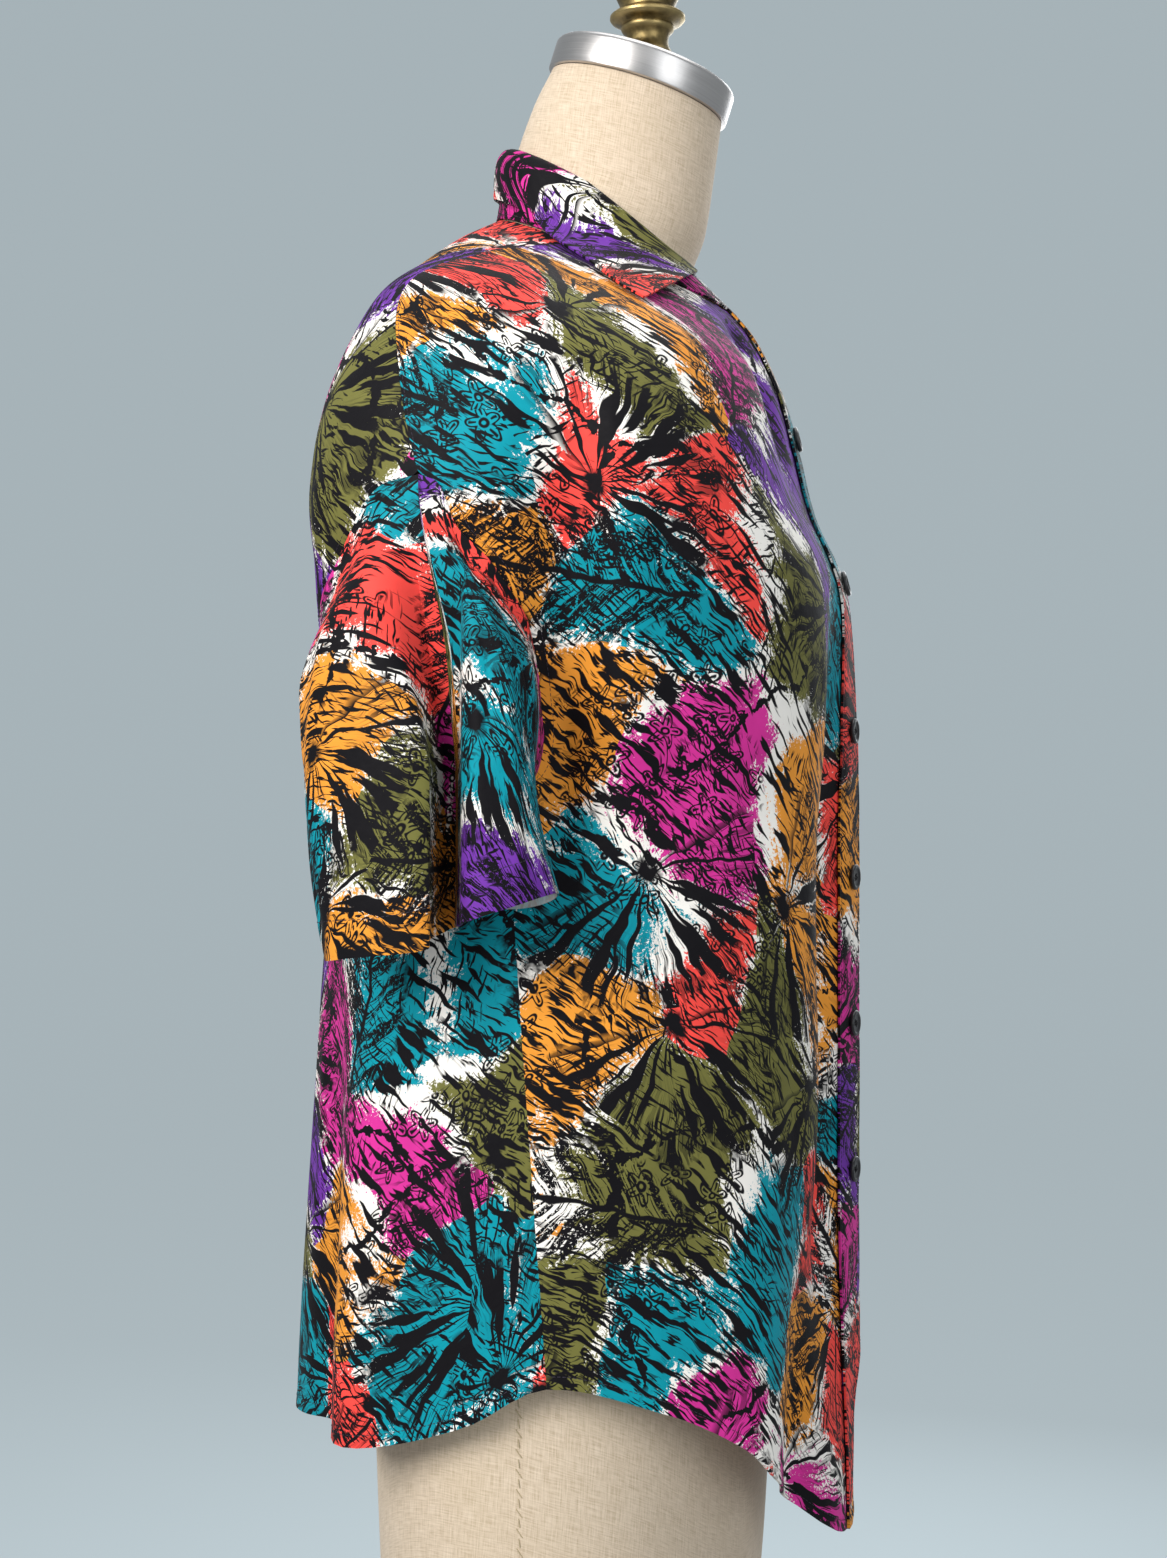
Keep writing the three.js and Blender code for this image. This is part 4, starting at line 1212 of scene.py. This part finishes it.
def stitch_mesh(name, material):
    template = np.array(
        [
            (
                share * STITCH_LENGTH,
                thick * STITCH_RADIUS * math.cos(turn),
                (sink + thick * math.sin(turn)) * STITCH_RADIUS,
            )
            for share, thick, sink in STITCH_STATIONS
            for turn in turns_of(STITCH_SIDES)
        ]
    )
    around = ring_faces(len(STITCH_STATIONS), STITCH_SIDES)[:, [0, 3, 2, 1]].tolist()
    faces = around + [face[::-1] for face in end_faces(len(template), STITCH_SIDES)]
    vertices = []
    all_faces = []
    for points, normals in STITCH_LINES:
        run = run_along(points)
        count = int(run[-1] / STITCH_PITCH)
        for centre in (np.arange(count) + 0.5) * (run[-1] / count):
            before, middle, after = (
                np.array([np.interp(at, run, points[:, k]) for k in range(3)])
                for at in (centre - STITCH_LENGTH / 2, centre, centre + STITCH_LENGTH / 2)
            )
            out = np.array([np.interp(centre, run, normals[:, k]) for k in range(3)])
            along = unit(after - before)
            side_way = unit(np.cross(out, along))
            first = len(vertices) * len(template)
            vertices.append(middle + template @ np.stack([along, side_way, np.cross(along, side_way)]))
            all_faces.extend(tuple(index + first for index in face) for face in faces)
    return new_object(name, np.concatenate(vertices), all_faces, [material])


# Turned and drawn out solids.

def lathe_mesh(name, profile, segments, material, place=None, bend=None, sharp=40):
    """A turned solid. The profile runs from the bottom on the axis to the top on the axis."""
    profile = np.array(profile, float)
    rings = profile[1:-1]
    spin = np.stack([np.cos(turns_of(segments)), np.sin(turns_of(segments))], axis=-1)
    heights = np.broadcast_to(rings[:, None, 1:], (len(rings), segments, 1))
    vertices = np.concatenate([rings[:, None, :1] * spin, heights], axis=-1).reshape(-1, 3)
    vertices = np.concatenate([vertices, [[0, 0, profile[0, 1]], [0, 0, profile[-1, 1]]]])
    faces = ring_faces(len(rings), segments).tolist()
    bottom = len(rings) * segments
    last = bottom - segments
    for j in range(segments):
        k = (j + 1) % segments
        faces.append((k, j, bottom))
        faces.append((last + j, last + k, bottom + 1))
    for change in (bend, place):
        if change is not None:
            vertices = change(vertices)
    return new_object(name, vertices, faces, [material], sharp=sharp)


TUBE_REFERENCE = np.array([0.31, 0.22, 0.92])  # a direction that no thread follows


def tube(name, path, radius, sides, material):
    """A round thread along a path."""
    tangents = unit(np.gradient(path, axis=0))
    side_way = unit(np.cross(tangents, TUBE_REFERENCE))[:, None, :]
    up = np.cross(side_way[:, 0], tangents)[:, None, :]
    turns = turns_of(sides)[None, :, None]
    vertices = path[:, None, :] + radius * (np.cos(turns) * side_way + np.sin(turns) * up)
    faces = ring_faces(len(path), sides).tolist() + end_faces(len(path) * sides, sides)
    return new_object(name, vertices.reshape(-1, 3), faces, [material])


def placed(origin, basis):
    return lambda vertices: np.asarray(origin) + vertices @ basis


def joined(name, parts):
    """Joins objects into the first one."""
    with bpy.context.temp_override(
        active_object=parts[0], selected_editable_objects=parts, object=parts[0]
    ):
        bpy.ops.object.join()
    parts[0].name = name
    return parts[0]


# Buttons.

BUTTON_TOP = 1289
BUTTON_SPACING = 85.5
BUTTON_TURNS = (7, -12, 22, 4, -18, 11)
BUTTON_PROFILE = [
    (0, 0), (6.6, 0), (7.2, 0.25), (7.5, 0.8), (7.5, 1.5), (7.35, 2.1), (6.95, 2.5), (6.4, 2.6),
    (5.8, 2.5), (5.2, 2.1), (4.8, 1.8), (4.3, 1.7), (2.6, 1.66), (0, 1.65),
]
BUTTON_CLEAR = 1.1
HOLE_APART = 1.35
HOLE_RADIUS = 0.85
HOLE_PROFILE = [(0, -1), (HOLE_RADIUS, -1), (HOLE_RADIUS, 4), (0, 4)]
THREAD_RADIUS = 0.22
THREAD_FOOT = 0.5
THREAD_RISE = 1.75
THREAD_APART = 0.24  # from the middle of a pair of threads to each one
THREAD_OVER = 0.22  # how far the second pair lies over the first
THREAD_POINTS = 13
BUTTON_SIDES = 56
HOLE_SIDES = 14
THREAD_SIDES = 7
BUTTON_SHARP = 35


def row_at_front(z):
    dense = np.linspace(0, HEM, 3001)
    return np.interp(z, body_point(dense, 0.0)[::-1, 2], dense[::-1])


def button_place(index):
    """Where a button's points go, from a frame in which it lies flat."""
    row = row_at_front(BUTTON_TOP - index * BUTTON_SPACING)
    out = unit(body_out(row, np.float64(0.0)))
    side_way = unit(np.cross([0.0, 0.0, 1.0], out))
    c = math.cos(math.radians(BUTTON_TURNS[index]))
    s = math.sin(math.radians(BUTTON_TURNS[index]))
    spin = np.array([[c, s, 0], [-s, c, 0], [0, 0, 1]])
    basis = spin @ np.stack([side_way, np.cross(out, side_way), out])
    return placed(body_point(row, 0.0) + out * (BAND_OUT + BUTTON_CLEAR), basis)


def button(index, plastic, thread):
    place = button_place(index)
    disc = lathe_mesh(f"button_{index + 1}_disc", BUTTON_PROFILE, BUTTON_SIDES, plastic, place)
    drills = []
    for corner in ((-1, -1), (-1, 1), (1, -1), (1, 1)):
        shift = np.array([*corner, 0]) * HOLE_APART
        shifted = lambda v, shift=shift: place(v + shift)
        drills.append(lathe_mesh("drill", HOLE_PROFILE, HOLE_SIDES, plastic, shifted))
    drill = joined("drill", drills)
    cut = disc.modifiers.new("holes", "BOOLEAN")
    cut.operation = "DIFFERENCE"
    cut.solver = "EXACT"
    cut.object = drill
    drilled = disc.evaluated_get(bpy.context.evaluated_depsgraph_get())
    mesh = bpy.data.meshes.new_from_object(drilled)
    disc.modifiers.clear()
    disc.data = mesh
    bpy.data.objects.remove(drill)
    mesh.set_sharp_from_angle(angle=math.radians(BUTTON_SHARP))
    threads = []
    shares = np.linspace(0, 1, THREAD_POINTS)[:, None]
    arch = np.sin(np.pi * shares[:, 0])
    for way in (1, -1):
        start = np.array([-HOLE_APART, -way * HOLE_APART, THREAD_FOOT])
        end = np.array([HOLE_APART, way * HOLE_APART, THREAD_FOOT])
        aside = unit(np.array([start[1] - end[1], end[0] - start[0], 0.0]))
        over = THREAD_OVER * arch if way < 0 else 0
        for apart in (-THREAD_APART, THREAD_APART):
            path = mix(start, end, shares) + aside * apart
            path[:, 2] = THREAD_FOOT + THREAD_RISE * arch**0.35 + over
            threads.append(tube("thread", place(path), THREAD_RADIUS, THREAD_SIDES, thread))
    return disc, joined(f"button_{index + 1}_thread", threads)


# The dress form.

FORM_GAP = 0.95
CAD_CLOTH = 1.5


def inset_row(index, distance):
    """A shirt row moved in, square to the line through its neighbours."""
    before = SHIRT_ROWS[max(index - 1, 0)]
    row = list(SHIRT_ROWS[index])
    after = SHIRT_ROWS[index + 1]
    for out_at, up_at, way in ((0, 1, -1), (2, 4, 1), (5, 6, 1)):
        run = (after[out_at] - before[out_at]) * way
        drop = before[up_at] - after[up_at]
        length = math.hypot(run, drop)
        row[out_at] -= way * distance * drop / length
        row[up_at] -= distance * run / length
    return row


form_inset = CAD_CLOTH / 2 + FORM_GAP
chest_row = inset_row(3, form_inset + 3)
chest_row[0], chest_row[1], chest_row[5], chest_row[6] = -117, 1304, 101, 1349
NECK_TOP = (-88, 1480, 52, -37.5, 1496.5, 13, 1513, 2)
FORM_ROWS = [
    NECK_TOP,
    (-84, 1452, 52, -31, 1472, 24, 1493, 2),
    (-78.5, 1415, 53, -24, 1441, 34, 1467, 2),
    (-70.5, 1385, 56.5, -16, 1416, 41, 1442, 2),
    inset_row(0, form_inset),
    inset_row(1, form_inset),
    inset_row(2, form_inset),
    chest_row,
    level(1300, -121, 184, 0, 109, 2.3),
    level(1262, -132, 174, 0, 110, 2.2),
    level(1215, -146, 162, 0, 104, 2.2),
    level(1175, -138, 152, 0, 97, 2.2),
    level(1110, -108, 132, 0, 85, 2.1),
    level(1055, -95, 122, 0, 80, 2.1),
    level(1000, -98, 136, 0, 90, 2.1),
    level(920, -110, 164, 0, 108, 2.1),
    level(820, -117, 181, 0, 111, 2.2),
    level(720, -116, 182, 0, 109, 2.2),
    level(610, -109, 175, 0, 105, 2.2),
    level(602, -104, 169, 0, 100, 2.2),
]
form_ring = rings_of(FORM_ROWS)
FORM_SEAMS = (0, 88, 180, 272)
# The hollow beside the collar bone, into which the shirt's front dips, written as a fold is.
COLLAR_BONE = (25, 13, -10, 1375, 1345, 1285, 1215)
FORM_MM_PER_DEGREE = 2.9
FORM_AROUND = 280
FORM_RINGS = 210


def form_torso(canvas):
    dense = np.linspace(0, len(FORM_ROWS) - 1, 4001)
    run = run_along(ring_point(form_ring(dense), 60.0))
    steps = np.interp(np.linspace(0, run[-1], FORM_RINGS), run, dense)[:, None]
    angles = (np.arange(FORM_AROUND) / FORM_AROUND * 360)[None, :]
    ring = form_ring(steps)
    hollow = one_fold(COLLAR_BONE, angles, ring_point(ring, angles)[..., 2])
    points = ring_point(ring, angles, hollow)
    across = lengths_across(np.concatenate([points, points[:, :1]], axis=1))[:, :-1]
    down = lengths_down(points)
    relief = 0.35 * grain(across / 40, down / 60, 121) + 0.12 * grain(across / 12, down / 12, 122)
    for seam in FORM_SEAMS:
        away = angle_between(angles, seam) * FORM_MM_PER_DEGREE
        relief = relief - 0.35 * bell(away, 1.6) * ease(points[..., 2], 1380, 1300)
    vertices = moved(points, relief, closed=True).reshape(-1, 3)
    faces = ring_faces(len(points), FORM_AROUND).tolist() + end_faces(len(vertices), FORM_AROUND)
    uv = np.stack([across, -down], axis=-1).reshape(-1, 2) * MM
    return new_object("form_torso_canvas", vertices, faces, [canvas], uv)


HAND_STITCHES = (800, 612, -5.2)  # from height, to height and step
HAND_STITCH_HEIGHT = 4.6
HAND_STITCH_SLANTS = (-0.3, -1.5)
HAND_STITCH_RADIUS = 0.28
HAND_STITCH_SIDES = 5


def form_side_stitches(thread):
    """Coarse hand stitches down the form's side seams, every other one slanting more."""
    made = []
    dense = np.linspace(8, len(FORM_ROWS) - 1, 1500)
    levels = form_ring(dense)["side_z"]
    shares = np.linspace(0, 1, 6)
    for seam in (FORM_SEAMS[1], FORM_SEAMS[3]):
        for number, z in enumerate(np.arange(*HAND_STITCHES)):
            lean = HAND_STITCH_SLANTS[number % 2] / FORM_MM_PER_DEGREE
            top, low = np.interp([z, z - HAND_STITCH_HEIGHT], levels[::-1], dense[::-1])
            path = ring_point(form_ring(mix(top, low, shares)), seam + mix(-lean, lean, shares))
            outward = unit(path * np.array([1, 1, 0]))
            path = path + outward * (0.05 + HAND_STITCH_RADIUS * np.sin(np.pi * shares))[:, None]
            made.append(tube("hand_stitch", path, HAND_STITCH_RADIUS, HAND_STITCH_SIDES, thread))
    return joined("form_side_stitches", made)


CAP_TILT = math.atan2(NECK_TOP[6] - NECK_TOP[1], NECK_TOP[5] - NECK_TOP[0])
NECK_MIDDLE = np.array([0, (NECK_TOP[5] + NECK_TOP[0]) / 2, (NECK_TOP[6] + NECK_TOP[1]) / 2])
CAP_UP = np.array([0, -math.sin(CAP_TILT), math.cos(CAP_TILT)])
CAP_BASIS = np.stack([[1, 0, 0], [0, math.cos(CAP_TILT), math.sin(CAP_TILT)], CAP_UP])
CAP_PROFILE = [
    (0, 0.1), (54.6, 0.1), (55.3, 0.5), (55.5, 1.2), (55.5, 8), (55.5, 15.6), (55.3, 16.6),
    (54.7, 17.6), (53.7, 18.5), (52.2, 19.1), (50.5, 19.3), (48, 19.2), (40, 19.3), (20, 19.6),
    (0, 19.8),
]
FINIAL_PROFILE = [
    (0, 0), (16.2, 0), (17.0, 0.8), (17.4, 2.4), (17.3, 4.2), (16.4, 5.4), (15.6, 6.4), (15.3, 7.8),
    (14.2, 9.2), (13.0, 10.8), (12.4, 12.4), (12.3, 13.8), (12.5, 15.6), (13.0, 17.4), (14.0, 18.6),
    (15.1, 19.6), (15.8, 20.8), (15.9, 22.0), (15.5, 23.0), (16.4, 23.8), (19.4, 24.8), (21.6, 25.9),
    (22.5, 27.1), (22.4, 28.6), (21.0, 29.8), (18.4, 31.0), (16.4, 32.4), (16.2, 34.0), (17.2, 36.6),
    (18.8, 40.0), (19.8, 43.4), (20.0, 46.4), (19.2, 49.8), (17.2, 52.6), (14.0, 55.4), (10.0, 57.4),
    (5.0, 59.0), (0, 60),
]
FINIAL_WAIST = 13
SEAM = 0.3
CAP_HEIGHT = 19


def finial_lean(vertices):
    share = np.clip(1 - vertices[:, 2] / FINIAL_WAIST, 0, 1)
    leaned = vertices.copy()
    leaned[:, 2] += share * vertices[:, 1] * math.tan(CAP_TILT)
    return leaned


FORM_BOTTOM = 602
POLE_FROM = 62.3
POLE_TO = FORM_BOTTOM - SEAM
POLE_PROFILE = [
    (0, POLE_FROM), (15.7, POLE_FROM), (16, POLE_FROM + 0.4), (16, 300), (16, POLE_TO - 9),
    (17, POLE_TO - 8.2), (38.6, POLE_TO - 8), (39.7, POLE_TO - 7.2), (40, POLE_TO - 6),
    (40, POLE_TO - 0.8), (39.5, POLE_TO), (0, POLE_TO),
]
FOOT_PROFILE = [
    (0, 0), (208.6, 0), (209.6, 0.5), (210, 1.5), (210, 8), (209.4, 10), (208, 11.4), (205.6, 12.2),
    (200, 12.8), (165, 16.2), (126, 19.6), (90, 22.2), (60, 24.6), (44, 27.2), (38, 30.2),
    (33.5, 35), (31, 39), (29.9, 44), (29.2, 52), (27.6, 57.6), (26.9, 60.4), (25.6, 61.8),
    (24, 62), (0, 62),
]


def canvas_material():
    material, g, shader = new_material("form_canvas")
    place = g.node("ShaderNodeUVMap", uv_map="cloth").outputs[0]
    slub, slub_across = (
        g.noise(g.vector("MULTIPLY", place, scales), 1.0)
        for scales in ((1400.0, 90.0, 1.0), (90.0, 1400.0, 1.0))
    )
    threads = slub * 0.5 + slub_across * 0.5
    tones = [(0.3, linear(186, 166, 140)), (0.5, linear(208, 189, 165)), (0.72, linear(223, 205, 183))]
    spots = g.step(g.noise(place, 18.0, 3.0), 0.45, 0.75)
    colour = g.blend(spots * 0.25, g.ramp(threads, tones), linear(194, 175, 146))
    height = threads * 2.0 + weave_height(g, place, 0.0006)
    levels = {"Specular IOR Level": 0.22, "Sheen Weight": 0.2}
    finish(g, shader, colour, threads * 0.1 + 0.78, height, 0.6, 0.00012, levels)
    return material


def brushed_material():
    material, g, shader = new_material("cap_metal")
    place = g.node("ShaderNodeTexCoord").outputs["Object"]
    shifted = g.vector("SUBTRACT", place, tuple(NECK_MIDDLE * MM))
    x, y, z = g.split(g.turned(shifted, -CAP_TILT, "X_AXIS"))
    reach = (x * x + y * y).math("SQRT")
    brushing = g.join(reach * 2600.0, z * 2600.0, g.math("ARCTAN2", y, x))
    lines = g.noise(brushing, 1.0, 3.0, 0.6, "3D")
    smear = g.noise(place, 60.0, 3.0, 0.6, "3D")
    colour = g.blend(lines, (0.40, 0.385, 0.38), (0.62, 0.60, 0.59))
    rough = lines * 0.16 + (smear * 0.16 + 0.2)
    finish(g, shader, colour, rough, lines, 0.35, 0.00003, {"Metallic": 1.0})
    return material


def brass_material():
    material, g, shader = new_material("finial_brass")
    place = g.node("ShaderNodeTexCoord").outputs["Object"]
    pit = g.noise(place, 260.0, 4.0, 0.65, "3D")
    cloud = g.noise(place, 55.0, 3.0, 0.6, "3D")
    worn = g.step(g.node("ShaderNodeNewGeometry").outputs["Pointiness"], 0.5, 0.56)
    bright = g.step(cloud * 0.7 + pit * 0.3, 0.4, 0.62)
    base = g.blend(bright, (0.06, 0.045, 0.02), (0.28, 0.205, 0.085))
    colour = g.blend(worn * 0.7, base, (0.50, 0.38, 0.17))
    finish(g, shader, colour, pit * 0.3 + 0.26, pit, 0.5, 0.00012, {"Metallic": 0.95})
    return material


# Making everything.

def declare(made, node=None):
    """Puts a piece on the part's one body. It may stand for a node, which is then hidden."""
    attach(made, "root")
    if node is not None:
        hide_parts(node)


back_panel()
for side in (RIGHT, LEFT):
    front_panel(side)
for side in (RIGHT, LEFT):
    front_band(side)
for side in (RIGHT, LEFT):
    sleeve(side)
collar_stand()
collar_fall()
for name, sheet in SHEETS.items():
    declare(sheet.made, name)
sewing_thread = plain_material("thread_dark", linear(40, 32, 48), 0.7, 0.3, 1500.0)
declare(stitch_mesh("shirt_stitches", sewing_thread))

plastic = plain_material("button_plastic", linear(26, 25, 28), 0.32, 0.2, 260.0)
button_thread = plain_material("button_thread", linear(22, 20, 24), 0.75, 0.3, 2500.0)
for index in range(len(BUTTON_TURNS)):
    disc, threads = button(index, plastic, button_thread)
    declare(disc, f"button_{index + 1}")
    declare(threads)

canvas_thread = plain_material("thread_canvas", linear(176, 160, 128), 0.8, 0.15, 1500.0)
declare(form_torso(canvas_material()), "form_torso")
declare(form_side_stitches(canvas_thread))
cap_place = placed(NECK_MIDDLE + CAP_UP * SEAM, CAP_BASIS)
cap = lathe_mesh("cap_shell", CAP_PROFILE, 128, brushed_material(), cap_place)
declare(cap, "neck_cap")
finial_place = placed(NECK_MIDDLE + CAP_UP * (CAP_HEIGHT + 1 + 3 * SEAM), np.eye(3))
finial = lathe_mesh("finial_turned", FINIAL_PROFILE, 96, brass_material(), finial_place, finial_lean)
declare(finial, "finial")
iron = plain_material("stand_iron", linear(34, 34, 36), 0.46, 0.25, 130.0, 0.55, 0.00015)
declare(lathe_mesh("pole_turned", POLE_PROFILE, 64, iron), "pole")
declare(lathe_mesh("base_turned", FOOT_PROFILE, 128, iron), "base")

# Sheets, each with the cut of what shows, measured along its cloth. A sleeve's is all round.

CUTS = {
    "shirt_back": ((0.65, 0.73), "draped", ["form_torso_canvas"]),
    "shirt_front_right": ((0.33, 0.72), "draped", ["form_torso_canvas"]),
    "shirt_front_left": ((0.33, 0.71), "draped", ["form_torso_canvas"]),
    "placket_right": ((0.035, 0.72), "hung", ["placket_left_cloth"]),
    "placket_left": ((0.031, 0.72), "hung", ["shirt_front_left_cloth"]),
    "sleeve_right": ((0.475, 0.24), "hung", ["shirt_front_right_cloth", "shirt_back_cloth"]),
    "sleeve_left": ((0.475, 0.24), "hung", ["shirt_front_left_cloth", "shirt_back_cloth"]),
    "collar_stand": ((0.48, 0.04), "folded", ["shirt_back_cloth"]),
    "collar_fall": ((0.42, 0.13), "folded", ["collar_stand_cloth"]),
}
for name, (flat, held, rests_on) in CUTS.items():
    sheet = SHEETS[name]

# Stage: a pale round studio, which only the camera sees, and soft lights. Places are in metres.

STUDIO_PROFILE = [
    (0.02, -0.001), (5.5, -0.001), (6.5, 0.05), (7.4, 0.28), (8.2, 0.75), (8.7, 1.4), (9.0, 2.4),
    (9.0, 9.0),
]
STUDIO_SIDES = 96


def studio():
    material, _, shader = new_material("studio")
    looks = {
        "Base Color": (*linear(132, 142, 146), 1),
        "Emission Color": (*linear(158, 168, 172), 1),
        "Emission Strength": 0.85,
        "Roughness": 0.9,
        "Specular IOR Level": 0.1,
    }
    for name, level in looks.items():
        shader.inputs[name].default_value = level
    vertices = [
        (reach * math.cos(turn) / MM, reach * math.sin(turn) / MM, z / MM)
        for reach, z in STUDIO_PROFILE
        for turn in turns_of(STUDIO_SIDES)
    ]
    faces = ring_faces(len(STUDIO_PROFILE), STUDIO_SIDES).tolist() + [tuple(range(STUDIO_SIDES))]
    made = new_object("studio", vertices, faces, [material])
    made.visible_shadow = False
    made.visible_diffuse = False
    made.visible_glossy = False


def area_light(name, place, target, size, power, colour=(1, 1, 1)):
    data = bpy.data.lights.new(name, "AREA")
    data.shape = "RECTANGLE"
    data.size, data.size_y = size
    data.energy = power
    data.color = colour
    light = bpy.data.objects.new(name, data)
    light.location = place
    heading = np.array(target, float) - np.array(place, float)
    yaw = math.atan2(heading[1], heading[0])
    pitch = math.atan2(heading[2], math.hypot(heading[0], heading[1]))
    light.rotation_euler = (math.pi / 2 + pitch, 0, yaw - math.pi / 2)
    COLLECTION.objects.link(light)


studio()
WARM = (1.0, 0.985, 0.96)
COOL = (0.95, 0.98, 1.0)
area_light("key", (-1.9, 1.0, 2.1), (0, 0, 1.1), (1.2, 1.2), 62, WARM)
area_light("fill", (-1.7, -1.7, 1.6), (0, 0, 1.05), (1.2, 1.8), 19, COOL)
area_light("top", (0.2, -0.3, 2.9), (0, 0, 1.2), (1.4, 1.4), 17)
area_light("far_side", (2.0, -0.2, 1.7), (0, 0, 1.1), (1.4, 1.8), 26, COOL)
world = bpy.data.worlds.new("world")
world.use_nodes = True
background = world.node_tree.nodes["Background"]
background.inputs["Color"].default_value = (0.80, 0.86, 0.90, 1)
background.inputs["Strength"].default_value = 0.45
SCENE.world = world
